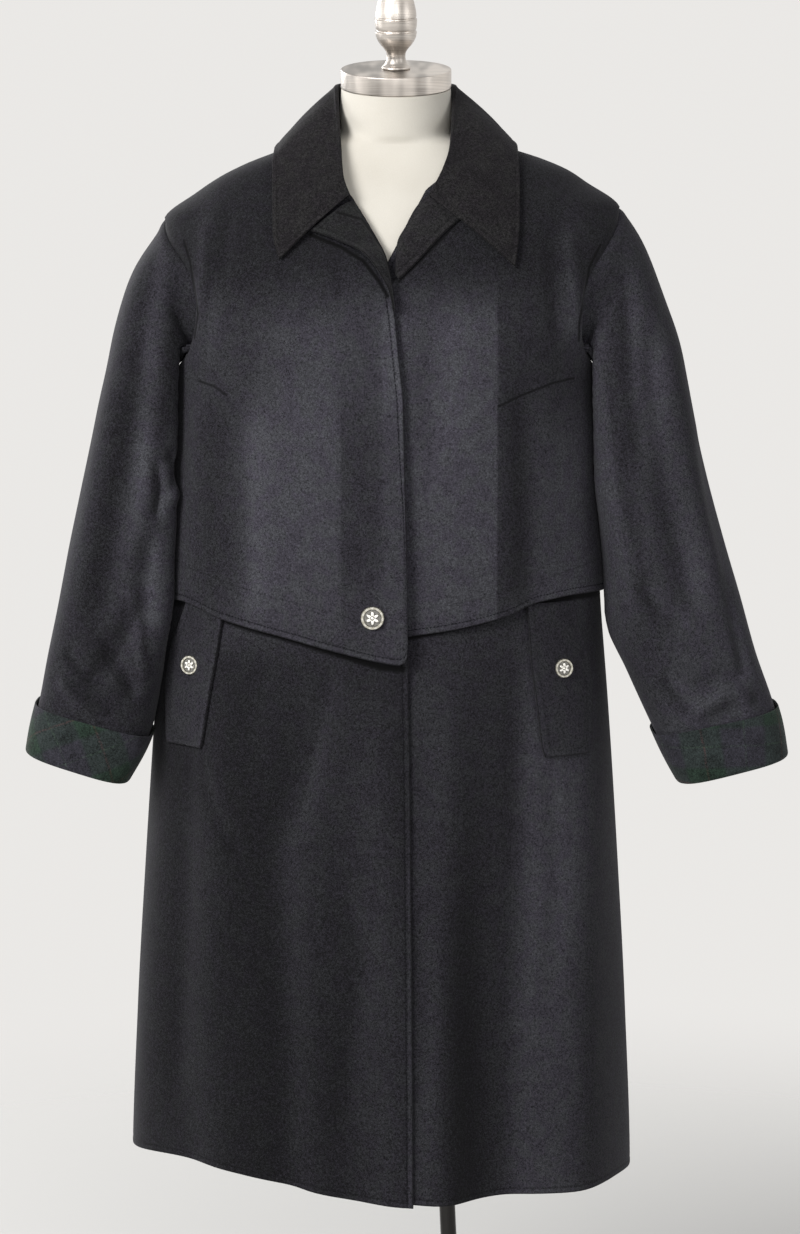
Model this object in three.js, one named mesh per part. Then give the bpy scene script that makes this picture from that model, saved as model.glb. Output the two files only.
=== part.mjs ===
import * as THREE from "three";

// A boiled wool coat on a dress form without limbs. Millimetres, +Z up, the front faces -Y,
// the wearer's right is -X. X and Y start at the foot of the pole, Z at the floor.

const CLOTH = 2.2; // one layer of boiled wool
const SEAM = 0.3; // gap between two pieces at a seam
const LAYER = 3.6; // one layer of cloth with the air under it
const FOOT_X = 65; // the neck stands this far to the wearer's right of the pole's foot
const LEAN = 0.0457; // sideways lean of pole and torso, as a slope

const NECKLINE = 1446; // level where the collar is sewn on
const ARM_TOP = 1377; // armhole, highest and lowest level
const ARM_BOTTOM = 1212;
const ARM_STEPS = 10; // levels in half a turn of the armhole
const ARM_REACH = 19; // degrees from the side to the armhole's front or back
const SKIRT_STEPS = 12; // levels from the hem to the armhole
const SHOULDER_LEVELS = [1390, 1402, 1414, 1425, 1436, NECKLINE];
const PANEL_COLUMNS = 12; // from the front edge to the side seam
const BACK_COLUMNS = 18;
const HEM = { level: 386, tilt: 4, wave: 3, turn: 40 };

// Level sections of the body: height, middle, half width, depth to front and back, and how
// square the section is, 2 being an ellipse.
const SECTIONS = [
  { z: 360, mid: -19, half: 263, front: 191, back: 174, square: 2.2 },
  { z: 550, mid: -19, half: 256, front: 182, back: 163, square: 2.2 },
  { z: 700, mid: -19, half: 247, front: 172, back: 153, square: 2.3 },
  { z: 870, mid: -19, half: 235, front: 162, back: 143, square: 2.4 },
  { z: 980, mid: -19, half: 226, front: 157, back: 138, square: 2.4 },
  { z: 1100, mid: -17, half: 217, front: 156, back: 135, square: 2.5 },
  { z: 1212, mid: -14, half: 214, front: 150, back: 131, square: 2.6 },
  { z: 1275, mid: -11, half: 223, front: 139, back: 127, square: 2.6 },
  { z: 1342, mid: -9, half: 240, front: 112, back: 112, square: 2.6 },
  { z: 1377, mid: -8, half: 229, front: 92, back: 99, square: 2.6 },
  { z: 1400, mid: -8, half: 197, front: 79, back: 89, square: 2.5 },
  { z: 1413, mid: -7, half: 176, front: 72, back: 83, square: 2.5 },
  { z: 1424, mid: -7, half: 150, front: 67, back: 78, square: 2.4 },
  { z: 1435, mid: -6, half: 115, front: 62, back: 73, square: 2.4 },
  { z: 1452, mid: -5, half: 74, front: 57, back: 67, square: 2.3 },
];

// Folds of the body: place and width in degrees round from the front, depth outwards, the
// level where the fold starts to show and the one where it is full.
const FOLDS = [
  { at: 16, wide: 11, depth: 11, start: 930, full: 420 },
  { at: 35, wide: 12, depth: -15, start: 960, full: 430 },
  { at: 58, wide: 11, depth: 8, start: 900, full: 450 },
  { at: -12, wide: 9, depth: -8, start: 900, full: 480 },
  { at: -31, wide: 11, depth: 9, start: 940, full: 430 },
  { at: -52, wide: 10, depth: -8, start: 880, full: 460 },
  { at: -72, wide: 10, depth: 6, start: 820, full: 480 },
  { at: 108, wide: 12, depth: -9, start: 900, full: 430 },
  { at: 131, wide: 12, depth: 10, start: 980, full: 420 },
  { at: 154, wide: 10, depth: -12, start: 940, full: 440 },
  { at: 178, wide: 12, depth: 9, start: 1010, full: 430 },
  { at: -157, wide: 11, depth: -11, start: 930, full: 450 },
  { at: -133, wide: 12, depth: 10, start: 960, full: 420 },
  { at: -109, wide: 12, depth: -8, start: 880, full: 440 },
];

// Front edges, sideways place by level. The right front laps over the left.
const RIGHT_EDGE = [
  { z: 360, x: 12 },
  { z: 943, x: 8 },
  { z: 1191, x: 3 },
  { z: 1269, x: -5 },
  { z: 1327, x: -13 },
  { z: 1388, x: -47 },
  { z: 1404, x: -62 },
  { z: 1452, x: -70 },
];
const LEFT_EDGE = [
  { z: 360, x: -45 },
  { z: 1262, x: -45 },
  { z: 1327, x: -11 },
  { z: 1396, x: 26 },
  { z: 1410, x: 44 },
  { z: 1452, x: 62 },
];

// The lap: the strip of the right front that rises over the left one, the levels between
// which it rises a second layer over the left cape, and those where it fades out at the neck.
const LAP = { from: -118, full: -62, capeFrom: 905, capeFull: 940, fade: 1323, end: 1343 };

const RIGHT_CAPE_EDGE = [
  { z: 900, x: 8 },
  { z: 1191, x: 3 },
  { z: 1269, x: -5 },
  { z: 1295, x: -9 },
  { z: 1320, x: -21 },
  { z: 1343, x: -50 },
  { z: 1361, x: -80 },
  { z: 1452, x: -76 },
];
const LEFT_CAPE_EDGE = [
  { z: 900, x: -45 },
  { z: 1262, x: -45 },
  { z: 1300, x: -10 },
  { z: 1335, x: 20 },
  { z: 1361, x: 46 },
  { z: 1452, x: 68 },
];

// Cape hems, level by sideways place, from the front edge to the side.
const RIGHT_CAPE_HEM = [
  { x: -262, z: 984 },
  { x: -205, z: 985 },
  { x: -161, z: 970 },
  { x: -107, z: 957 },
  { x: -64, z: 945 },
  { x: -19, z: 931 },
  { x: -2, z: 930 },
  { x: 10, z: 940 },
];
const LEFT_CAPE_HEM = [
  { x: -50, z: 948 },
  { x: 11, z: 956 },
  { x: 83, z: 971 },
  { x: 122, z: 985 },
  { x: 168, z: 990 },
  { x: 230, z: 988 },
];
const CAPE_FLARE = 5; // how far the cape's hem stands off the front
const CAPE_HANG = 250; // height over which it comes to that, below the armhole
const CAPE_ROWS = 5; // rows below the armhole
const LEFT_FLARE = { from: 8, full: 58 }; // clear of the lap, the left cape stands off too

// The turned back corners, from the break up to the collar: fold and outer edge.
const RIGHT_REVERS = [
  { foldX: -3, foldZ: 1262, edgeX: -5.5, edgeZ: 1260 },
  { foldX: -6, foldZ: 1290, edgeX: -11, edgeZ: 1287 },
  { foldX: -10, foldZ: 1312, edgeX: -21, edgeZ: 1308 },
  { foldX: -16, foldZ: 1333, edgeX: -37, edgeZ: 1327 },
  { foldX: -31, foldZ: 1360, edgeX: -58, edgeZ: 1340 },
  { foldX: -46, foldZ: 1384, edgeX: -88, edgeZ: 1352 },
];
const LEFT_REVERS = [
  { foldX: -5, foldZ: 1311, edgeX: -1, edgeZ: 1306 },
  { foldX: -3, foldZ: 1341, edgeX: 14, edgeZ: 1320 },
  { foldX: 6, foldZ: 1359, edgeX: 30, edgeZ: 1337 },
  { foldX: 16, foldZ: 1377, edgeX: 45, edgeZ: 1352 },
  { foldX: 26, foldZ: 1395, edgeX: 59, edgeZ: 1364 },
];
const REVERS_STEPS = 4;
const RIGHT_REVERS_SEAT = LAYER; // height of its fold over the front
const LEFT_REVERS_SEAT = CLOTH + 0.5;
const REVERS_EDGE = 2.3 * LAYER; // height of its outer edge, over the cape
const REVERS_RISE = 0.25; // share of its width in which it comes to that

// The collar, from its right end round the neck to its left one: the way its fold faces, in
// degrees from the front, the fold's place, the outer edge, and the seam on the neckline with
// its height off the body's face.
const COLLAR = [
  { turn: -18, x: -49, y: -97, z: 1390, edgeX: -118, edgeZ: 1324, seamTurn: -34, seamZ: 1388, seamLift: 6.5 },
  { turn: -28, x: -56, y: -88, z: 1408, edgeX: -125, edgeZ: 1352, seamTurn: -40, seamZ: 1404, seamLift: 6.5 },
  { turn: -50, x: -60, y: -66, z: 1440, edgeX: -126, edgeZ: 1388, seamTurn: -48, seamZ: 1428, seamLift: 6.5 },
  { turn: -75, x: -64, y: -37, z: 1476, edgeX: -126, edgeZ: 1417, seamTurn: -72, seamZ: 1448, seamLift: 4 },
  { turn: -95, x: -66, y: -4, z: 1500, edgeX: -121, edgeZ: 1439, seamTurn: -95, seamZ: 1448, seamLift: -0.3 },
  { turn: -130, x: -55, y: 34, z: 1504, edgeX: -97, edgeZ: 1434, seamTurn: -132, seamZ: 1448, seamLift: -0.3 },
  { turn: -180, x: -5, y: 60, z: 1505, edgeX: -6, edgeZ: 1430, seamTurn: -180, seamZ: 1448, seamLift: -0.3 },
  { turn: -230, x: 46, y: 34, z: 1504, edgeX: 86, edgeZ: 1434, seamTurn: -228, seamZ: 1448, seamLift: -0.3 },
  { turn: -265, x: 57, y: -4, z: 1500, edgeX: 115, edgeZ: 1438, seamTurn: -265, seamZ: 1448, seamLift: -0.3 },
  { turn: -285, x: 55, y: -37, z: 1476, edgeX: 117, edgeZ: 1416, seamTurn: -288, seamZ: 1448, seamLift: 4 },
  { turn: -310, x: 51, y: -66, z: 1442, edgeX: 118, edgeZ: 1388, seamTurn: -312, seamZ: 1428, seamLift: 6.5 },
  { turn: -332, x: 43, y: -87, z: 1418, edgeX: 117, edgeZ: 1354, seamTurn: -322, seamZ: 1412, seamLift: 6.5 },
  { turn: -342, x: 32, y: -96, z: 1402, edgeX: 112, edgeZ: 1327, seamTurn: -330, seamZ: 1400, seamLift: 6.5 },
];
const COLLAR_SUBSTEPS = 2;
const COLLAR_FOLD = 3.4; // half the thickness of the fold between stand and fall
const COLLAR_EDGE_LIFT = 9;
const COLLAR_LEAST_LIFT = 8.5;
const COLLAR_BULGE = 4; // how far the fall bows out between its fold and its edge
const COLLAR_BEHIND = { from: -110, to: -250 }; // the turns that lie on the back
const FALL_STEPS = 4;

// The sleeves, ring by ring below the armhole: outer and inner point as seen from the front,
// how far forward the ring lies and its half depth.
const RIGHT_SLEEVE = [
  { outX: -250, outZ: 1361, inX: -230, inZ: 1209, y: 0, deep: 75 },
  { outX: -263, outZ: 1335, inX: -231, inZ: 1205, y: -2, deep: 79 },
  { outX: -275, outZ: 1303, inX: -232, inZ: 1198, y: -6, deep: 82 },
  { outX: -287, outZ: 1258, inX: -233, inZ: 1186, y: -12, deep: 83 },
  { outX: -299, outZ: 1206, inX: -233, inZ: 1165, y: -19, deep: 82 },
  { outX: -312, outZ: 1152, inX: -233, inZ: 1128, y: -27, deep: 79 },
  { outX: -326, outZ: 1097, inX: -234, inZ: 1077, y: -36, deep: 76 },
  { outX: -339, outZ: 1041, inX: -236, inZ: 1019, y: -44, deep: 72 },
  { outX: -351, outZ: 983, inX: -240, inZ: 959, y: -51, deep: 68 },
  { outX: -362, outZ: 929, inX: -247, inZ: 902, y: -57, deep: 64 },
  { outX: -371, outZ: 877, inX: -257, inZ: 846, y: -62, deep: 60 },
  { outX: -381, outZ: 823, inX: -280, inZ: 791, y: -66, deep: 56 },
];
const LEFT_SLEEVE = [
  { outX: 236, outZ: 1362, inX: 202, inZ: 1209, y: 0, deep: 75 },
  { outX: 250, outZ: 1338, inX: 203, inZ: 1205, y: -2, deep: 79 },
  { outX: 264, outZ: 1303, inX: 204, inZ: 1198, y: -6, deep: 82 },
  { outX: 280, outZ: 1256, inX: 204, inZ: 1186, y: -12, deep: 83 },
  { outX: 295, outZ: 1204, inX: 205, inZ: 1165, y: -19, deep: 82 },
  { outX: 309, outZ: 1150, inX: 205, inZ: 1128, y: -27, deep: 79 },
  { outX: 325, outZ: 1095, inX: 206, inZ: 1077, y: -36, deep: 76 },
  { outX: 340, outZ: 1040, inX: 209, inZ: 1022, y: -44, deep: 72 },
  { outX: 355, outZ: 985, inX: 213, inZ: 962, y: -51, deep: 68 },
  { outX: 369, outZ: 930, inX: 228, inZ: 908, y: -57, deep: 64 },
  { outX: 384, outZ: 874, inX: 251, inZ: 848, y: -62, deep: 60 },
  { outX: 396, outZ: 819, inX: 281, inZ: 791, y: -66, deep: 56 },
];
const SLEEVE_SQUARE = 2.2;
const SLEEVE_COLUMNS = 20;
const UNDER_SLEEVE_FROM = 108; // degrees from the top of the ring to the sleeve's two seams
const SLEEVE_SEAM_TURN = 0.15; // degrees that each half stops short of the seam
const ARMHOLE_GAP = 0.4;
// Air between sleeve and body: by the cuff, and in the armpit from its first ring down.
const SLEEVE_AIR = { low: 3, first: 4.8, grow: 1.6, most: 11.6, from: 900, full: 950 };
const SLEEVE_PUSHED_BELOW = 1240; // the body pushes the sleeve outwards below this level
const CUFF_DEPTH = 0.95; // of the last ring's length
const CUFF_END = 0.06; // the sleeve ends this much above the cuff's fold, in rings
const CUFF_OFF = 0.6;
const CUFF_FLARE = 2;

// Pocket welts: level, outer and inner side.
const RIGHT_WELT = [
  { z: 839, outX: -235, inX: -196 },
  { z: 846, outX: -236, inX: -194 },
  { z: 890, outX: -236, inX: -187 },
  { z: 930, outX: -231, inX: -181 },
  { z: 967, outX: -219, inX: -176 },
];
const LEFT_WELT = [
  { z: 831, outX: 184, inX: 145 },
  { z: 838, outX: 187, inX: 143 },
  { z: 885, outX: 189, inX: 137 },
  { z: 925, outX: 187, inX: 131 },
  { z: 970, outX: 175, inX: 127 },
];
const WELT_COLUMNS = 4;

const FRONT_BUTTON = { x: -27, z: 974, radius: 11.6 };
const RIGHT_POCKET_BUTTON = { x: -208, z: 927, radius: 9.6 };
const LEFT_POCKET_BUTTON = { x: 161, z: 925, radius: 9.6 };
const BUTTON_SEGMENTS = 20;

// A button's outline from its shank to the middle of its face: share of its radius, height.
const BUTTON_OUTLINE = [
  { share: 0, height: 0 },
  { share: 0.3, height: 0 },
  { share: 0.34, height: 1 },
  { share: 0.96, height: 1.4 },
  { share: 1, height: 2.4 },
  { share: 0.95, height: 3.4 },
  { share: 0.82, height: 3.6 },
  { share: 0.7, height: 2.9 },
  { share: 0.25, height: 3.5 },
  { share: 0, height: 3.7 },
];

// The torso of the dress form, and its neck, which tips forward.
const TORSO = [
  { z: 800, mid: 28, half: 170, front: 122, back: 116, square: 2.2 },
  { z: 810, mid: 28, half: 178, front: 130, back: 123, square: 2.2 },
  { z: 880, mid: 24, half: 180, front: 134, back: 126, square: 2.2 },
  { z: 980, mid: 18, half: 168, front: 124, back: 112, square: 2.2 },
  { z: 1075, mid: 12, half: 152, front: 112, back: 98, square: 2.2 },
  { z: 1150, mid: 6, half: 166, front: 128, back: 108, square: 2.2 },
  { z: 1212, mid: 0, half: 178, front: 142, back: 118, square: 2.3 },
  { z: 1275, mid: -5, half: 190, front: 134, back: 118, square: 2.4 },
  { z: 1342, mid: -8, half: 197, front: 112, back: 110, square: 2.4 },
  { z: 1377, mid: -8, half: 197, front: 92, back: 99, square: 2.4 },
];
const TORSO_INSET = CLOTH + 1.6; // the torso's shoulders lie this far under the coat's outer face
const TORSO_FOLLOWS = { from: 1150, full: 1280 }; // above these levels it takes the coat's shape
const TORSO_COLUMNS = 28;
const NECK_X = -4;
const NECK_RINGS = [
  { z: 1452, y: -1, radius: 57, tip: 2 },
  { z: 1474, y: -6, radius: 54.5, tip: 7 },
  { z: 1498, y: -12, radius: 54.2, tip: 11.7 },
];
const NECK_TIP = 11.7;
const CAP_RADIUS = 56;
const CAP_HEIGHT = 19;
const FINIAL_OUTLINE = [
  { radius: 14.5, height: 0 },
  { radius: 14, height: 4 },
  { radius: 10, height: 9 },
  { radius: 9.5, height: 15 },
  { radius: 13.5, height: 20 },
  { radius: 19.5, height: 29 },
  { radius: 21, height: 38 },
  { radius: 19.5, height: 40 },
  { radius: 21.3, height: 50 },
  { radius: 19.8, height: 52 },
  { radius: 19.5, height: 60 },
  { radius: 16.5, height: 72 },
  { radius: 10, height: 82 },
  { radius: 4, height: 86 },
];

const POLE_RADIUS = 8.5;
const SOCKET_RADIUS = 32; // the plate on top of the pole that carries the torso
const SOCKET_HEIGHT = 8;
const SOCKET_FLARE = 5; // the pole widens by this much in the last stretch below the plate
const SOCKET_FLARE_HEIGHT = 20;
const HUB_RADIUS = 19;
const HUB_HEIGHT = 48;
const HUB_FOOT = 9; // width of the hub's foot, which is HUB_FOOT_HEIGHT thick
const HUB_FOOT_HEIGHT = 5;
const HUB_NARROWS = 3;
const BASE_RADIUS = 178;
const BASE_HEIGHT = 11;
const BASE_EDGE = 2; // chamfer below
const BASE_SLOPE = 6; // width of the slope above
const BASE_SLOPE_HEIGHT = 4;

const wool = new THREE.MeshStandardMaterial({ color: 0x3b3b43, roughness: 0.95 });
const checked = new THREE.MeshStandardMaterial({ color: 0x223a2c, roughness: 0.95 });
const silver = new THREE.MeshStandardMaterial({ color: 0xc9c8c4, roughness: 0.35, metalness: 1 });
const ivory = new THREE.MeshStandardMaterial({ color: 0xe9e2d2, roughness: 0.8 });
const steel = new THREE.MeshStandardMaterial({ color: 0xb5b3af, roughness: 0.4, metalness: 1 });

const coatOnForm = new THREE.Group();
coatOnForm.position.x = -FOOT_X;

// Tables: a straight line between two rows, or a smooth curve that never overshoots.
function straight(rows, key, by, value) {
  const last = rows.length - 1;
  if (value <= rows[0][by]) return rows[0][key];
  if (value >= rows[last][by]) return rows[last][key];
  const i = rows.findIndex((row) => row[by] > value) - 1;
  const share = (value - rows[i][by]) / (rows[i + 1][by] - rows[i][by]);
  return rows[i][key] + share * (rows[i + 1][key] - rows[i][key]);
}

function slopeAt(rows, key, by, i) {
  if (i === 0 || i === rows.length - 1) return 0;
  const before = (rows[i][key] - rows[i - 1][key]) / (rows[i][by] - rows[i - 1][by]);
  const after = (rows[i + 1][key] - rows[i][key]) / (rows[i + 1][by] - rows[i][by]);
  return before * after <= 0 ? 0 : (2 * before * after) / (before + after);
}

function smooth(rows, key, by, value) {
  const last = rows.length - 1;
  if (value <= rows[0][by]) return rows[0][key];
  if (value >= rows[last][by]) return rows[last][key];
  const i = rows.findIndex((row) => row[by] > value) - 1;
  const length = rows[i + 1][by] - rows[i][by];
  const t = (value - rows[i][by]) / length;
  const rise = rows[i + 1][key] - rows[i][key];
  const m0 = slopeAt(rows, key, by, i) * length;
  const m1 = slopeAt(rows, key, by, i + 1) * length;
  return rows[i][key] + t * (m0 + t * (3 * rise - 2 * m0 - m1 + t * (m0 + m1 - 2 * rise)));
}

const clamp01 = (value) => Math.min(1, Math.max(0, value));
const ease = (value) => clamp01(value) ** 2 * (3 - 2 * clamp01(value));
const radians = THREE.MathUtils.degToRad;
const mix = THREE.MathUtils.lerp;

// The body's outer face. A place on it is an angle round from the front and a level.
function sectionAt(z, rows = SECTIONS) {
  const section = {};
  for (const key of ["mid", "half", "front", "back", "square"])
    section[key] = smooth(rows, key, "z", z);
  return section;
}

function radiusOf(section, degrees) {
  const sin = Math.abs(Math.sin(radians(degrees)));
  const cos = Math.cos(radians(degrees));
  const depth = cos > 0 ? section.front : section.back;
  const n = section.square;
  return ((sin / section.half) ** n + (Math.abs(cos) / depth) ** n) ** (-1 / n);
}

function foldAt(degrees, z) {
  let sum = 0;
  for (const fold of FOLDS) {
    const away = THREE.MathUtils.euclideanModulo(degrees - fold.at + 180, 360) - 180;
    const shown = ease((fold.start - z) / (fold.start - fold.full));
    sum += fold.depth * shown * Math.exp(-((away / fold.wide) ** 2));
  }
  return sum;
}

function bodyPoint(degrees, z) {
  const section = sectionAt(z);
  const radius = radiusOf(section, degrees) + foldAt(degrees, z);
  const turn = radians(degrees);
  return new THREE.Vector3(section.mid + radius * Math.sin(turn), -radius * Math.cos(turn), z);
}

function bodyNormal(degrees, z) {
  const round = bodyPoint(degrees + 0.5, z).sub(bodyPoint(degrees - 0.5, z));
  const up = bodyPoint(degrees, z + 1).sub(bodyPoint(degrees, z - 1));
  return round.cross(up).normalize();
}

function onBody(degrees, z, lift) {
  return bodyPoint(degrees, z).addScaledVector(bodyNormal(degrees, z), lift);
}

function frontAngle(x, z) {
  const section = sectionAt(z);
  const across = THREE.MathUtils.clamp((x - section.mid) / section.half, -0.999, 0.999);
  const n = section.square;
  const y = section.front * (1 - Math.abs(across) ** n) ** (1 / n);
  return THREE.MathUtils.radToDeg(Math.atan2(across * section.half, y));
}

// Moves a point level outwards until it lies off the body's face by the lift at least.
function clearOfBody(point, lift) {
  const section = sectionAt(point.z);
  const across = point.x - section.mid;
  const degrees = THREE.MathUtils.radToDeg(Math.atan2(across, -point.y));
  const normal = bodyNormal(degrees, point.z);
  const least = radiusOf(section, degrees) + lift / Math.hypot(normal.x, normal.y);
  const grow = Math.max(1, least / Math.hypot(across, point.y));
  return new THREE.Vector3(section.mid + across * grow, point.y * grow, point.z);
}

// Moves a point sideways only, as a hanging sleeve is pushed out by the body.
function besideBody(point, side, lift) {
  const section = sectionAt(point.z);
  const n = section.square;
  const depth = (point.y < 0 ? section.front : section.back) + lift;
  const share = Math.abs(point.y) / depth;
  if (share >= 1) return point;
  const least = (section.half + lift) * (1 - share ** n) ** (1 / n);
  const across = Math.max(side * (point.x - section.mid), least);
  return new THREE.Vector3(section.mid + side * across, point.y, point.z);
}

// Closed solids from grids of points.
function solid(points, faces) {
  const corner = (index) => points[index];
  const volume = faces.reduce(
    (sum, [a, b, c]) => sum + corner(a).dot(corner(b).clone().cross(corner(c))),
    0,
  );
  const index = faces.flatMap(([a, b, c]) => (volume > 0 ? [a, b, c] : [a, c, b]));
  const geometry = new THREE.BufferGeometry().setFromPoints(points);
  geometry.setIndex(index);
  geometry.computeVertexNormals();
  return geometry;
}

function quad(a, b, c, d) {
  return [[a, b, c], [a, c, d]];
}

// A sheet with a wall: two grids of the same size, rows of points, closed round their edges.
function sheet(outer, inner) {
  const rows = outer.length;
  const columns = outer[0].length;
  const points = [...outer.flat(), ...inner.flat()];
  const out = (r, c) => r * columns + c;
  const into = (r, c) => rows * columns + out(r, c);
  const faces = [];
  for (let r = 0; r < rows - 1; r++)
    for (let c = 0; c < columns - 1; c++) {
      faces.push(...quad(out(r, c), out(r, c + 1), out(r + 1, c + 1), out(r + 1, c)));
      faces.push(...quad(into(r, c), into(r + 1, c), into(r + 1, c + 1), into(r, c + 1)));
    }
  for (let c = 0; c < columns - 1; c++) {
    faces.push(...quad(out(0, c), into(0, c), into(0, c + 1), out(0, c + 1)));
    const r = rows - 1;
    faces.push(...quad(out(r, c), out(r, c + 1), into(r, c + 1), into(r, c)));
  }
  for (let r = 0; r < rows - 1; r++) {
    faces.push(...quad(out(r, 0), out(r + 1, 0), into(r + 1, 0), into(r, 0)));
    const c = columns - 1;
    faces.push(...quad(out(r, c), into(r, c), into(r + 1, c), out(r + 1, c)));
  }
  return solid(points, faces);
}

// A solid from rings: stacked with a flat lid at each end, or closed on themselves.
function stack(rings, closed = false) {
  const count = rings[0].length;
  const points = rings.flat();
  const faces = [];
  const steps = closed ? rings.length : rings.length - 1;
  for (let r = 0; r < steps; r++)
    for (let c = 0; c < count; c++) {
      const d = (c + 1) % count;
      const next = ((r + 1) % rings.length) * count;
      faces.push(...quad(r * count + c, r * count + d, next + d, next + c));
    }
  if (closed) return solid(points, faces);
  const top = (rings.length - 1) * count;
  for (let c = 1; c < count - 1; c++) {
    faces.push([0, c + 1, c]);
    faces.push([top, top + c, top + c + 1]);
  }
  return solid(points, faces);
}

function add(name, geometry, material, parent = coatOnForm) {
  const mesh = new THREE.Mesh(geometry, material);
  mesh.name = name;
  parent.add(mesh);
  return mesh;
}

// Body panels. Each is a grid of levels and columns between two edges, on the body's face.
function armAngle(z) {
  const middle = (ARM_TOP + ARM_BOTTOM) / 2;
  const share = (z - middle) / (ARM_TOP - middle);
  return Math.abs(share) >= 1 ? 0 : ARM_REACH * Math.sqrt(1 - share * share);
}

function sideAngle(z) {
  return 90 - armAngle(z) - THREE.MathUtils.radToDeg(SEAM / 2 / sectionAt(z).half);
}

function armLevels() {
  const middle = (ARM_TOP + ARM_BOTTOM) / 2;
  const levels = [];
  for (let i = ARM_STEPS; i >= 0; i--)
    levels.push(middle + (ARM_TOP - middle) * Math.cos((Math.PI * i) / ARM_STEPS));
  return levels;
}

// Angles that part a level's face into equal lengths.
const ARC_SAMPLES = 48;
function spread(from, to, z, columns) {
  const lengths = [0];
  for (let i = 1; i <= ARC_SAMPLES; i++) {
    const before = bodyPoint(mix(from, to, (i - 1) / ARC_SAMPLES), z);
    const here = bodyPoint(mix(from, to, i / ARC_SAMPLES), z);
    lengths.push(lengths[i - 1] + here.distanceTo(before));
  }
  const table = lengths.map((length, i) => ({ length, degrees: mix(from, to, i / ARC_SAMPLES) }));
  const angles = [];
  for (let c = 0; c <= columns; c++)
    angles.push(straight(table, "degrees", "length", (lengths[ARC_SAMPLES] * c) / columns));
  return angles;
}

function panel({ from, to, foot, rows, columns, lift }) {
  const upper = [...armLevels(), ...SHOULDER_LEVELS];
  const outer = [];
  const inner = [];
  for (let r = 0; r < rows + upper.length; r++) {
    const outerRow = [];
    const innerRow = [];
    for (let c = 0; c <= columns; c++) {
      const low = foot(c / columns);
      const z = r < rows ? mix(low, upper[0], r / rows) : upper[r - rows];
      const degrees = spread(from(z), to(z), z, columns)[c];
      const out = lift(degrees, z);
      outerRow.push(onBody(degrees, z, out));
      innerRow.push(onBody(degrees, z, out - CLOTH));
    }
    outer.push(outerRow);
    inner.push(innerRow);
  }
  return sheet(outer, inner);
}

// The right front rises over the left one where they lap, by one layer below the cape's hem
// and by two above it.
const between = (from, to, value) => ease((value - from) / (to - from));

function lapLift(degrees, z) {
  const layers = 1 + between(LAP.capeFrom, LAP.capeFull, z);
  const across = between(LAP.from, LAP.full, bodyPoint(degrees, z).x);
  return LAYER * layers * across * between(LAP.end, LAP.fade, z);
}

function hemLevel(degrees) {
  const wave = HEM.wave * Math.cos(radians(2 * degrees + HEM.turn));
  return HEM.level - HEM.tilt * Math.sin(radians(degrees)) - wave;
}

add("right_front", panel({
  from: (z) => frontAngle(straight(RIGHT_EDGE, "x", "z", z), z),
  to: (z) => -sideAngle(z),
  foot: (share) => hemLevel(-90 * share),
  rows: SKIRT_STEPS,
  columns: PANEL_COLUMNS,
  lift: lapLift,
}), wool);

add("left_front", panel({
  from: (z) => frontAngle(straight(LEFT_EDGE, "x", "z", z), z),
  to: sideAngle,
  foot: (share) => hemLevel(90 * share),
  rows: SKIRT_STEPS,
  columns: PANEL_COLUMNS,
  lift: () => 0,
}), wool);

add("back", panel({
  from: (z) => 180 - sideAngle(z),
  to: (z) => 180 + sideAngle(z),
  foot: (share) => hemLevel(mix(90, 270, share)),
  rows: SKIRT_STEPS,
  columns: BACK_COLUMNS,
  lift: () => 0,
}), wool);

function capeFlare(z) {
  return CAPE_FLARE * between(ARM_BOTTOM, ARM_BOTTOM - CAPE_HANG, z);
}

// The level of a cape's hem at a share of the way from the front edge to the side.
function capeFoot(edge, hem, side) {
  const front = frontAngle(edge[0].x, hem[0].z);
  return (share) => {
    const degrees = mix(front, side * 90, share);
    return smooth(hem, "z", "x", bodyPoint(degrees, hem[0].z).x);
  };
}

add("right_cape", panel({
  from: (z) => frontAngle(straight(RIGHT_CAPE_EDGE, "x", "z", z), z),
  to: (z) => -sideAngle(z),
  foot: capeFoot(RIGHT_CAPE_EDGE, RIGHT_CAPE_HEM, -1),
  rows: CAPE_ROWS,
  columns: PANEL_COLUMNS,
  lift: (degrees, z) => lapLift(degrees, z) + LAYER + capeFlare(z),
}), wool);

add("left_cape", panel({
  from: (z) => frontAngle(straight(LEFT_CAPE_EDGE, "x", "z", z), z),
  to: sideAngle,
  foot: capeFoot(LEFT_CAPE_EDGE, LEFT_CAPE_HEM, 1),
  rows: CAPE_ROWS,
  columns: PANEL_COLUMNS,
  lift: (degrees, z) => {
    const free = between(LEFT_FLARE.from, LEFT_FLARE.full, bodyPoint(degrees, z).x);
    return LAYER + capeFlare(z) * free;
  },
}), wool);

// The turned back corners lie on the front, and over the cape's edge.
function revers(rows, seat, under) {
  const grid = (drop) => rows.map((row) => {
    const line = [];
    for (let c = 0; c <= REVERS_STEPS; c++) {
      const share = c / REVERS_STEPS;
      const x = mix(row.foldX, row.edgeX, share);
      const z = mix(row.foldZ, row.edgeZ, share);
      const degrees = frontAngle(x, z);
      const lift = mix(seat, REVERS_EDGE, ease(share / REVERS_RISE));
      line.push(onBody(degrees, z, under(degrees, z) + lift - drop));
    }
    return line;
  });
  return sheet(grid(0), grid(CLOTH));
}

add("right_revers", revers(RIGHT_REVERS, RIGHT_REVERS_SEAT, lapLift), wool);
add("left_revers", revers(LEFT_REVERS, LEFT_REVERS_SEAT, () => 0), wool);

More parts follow.
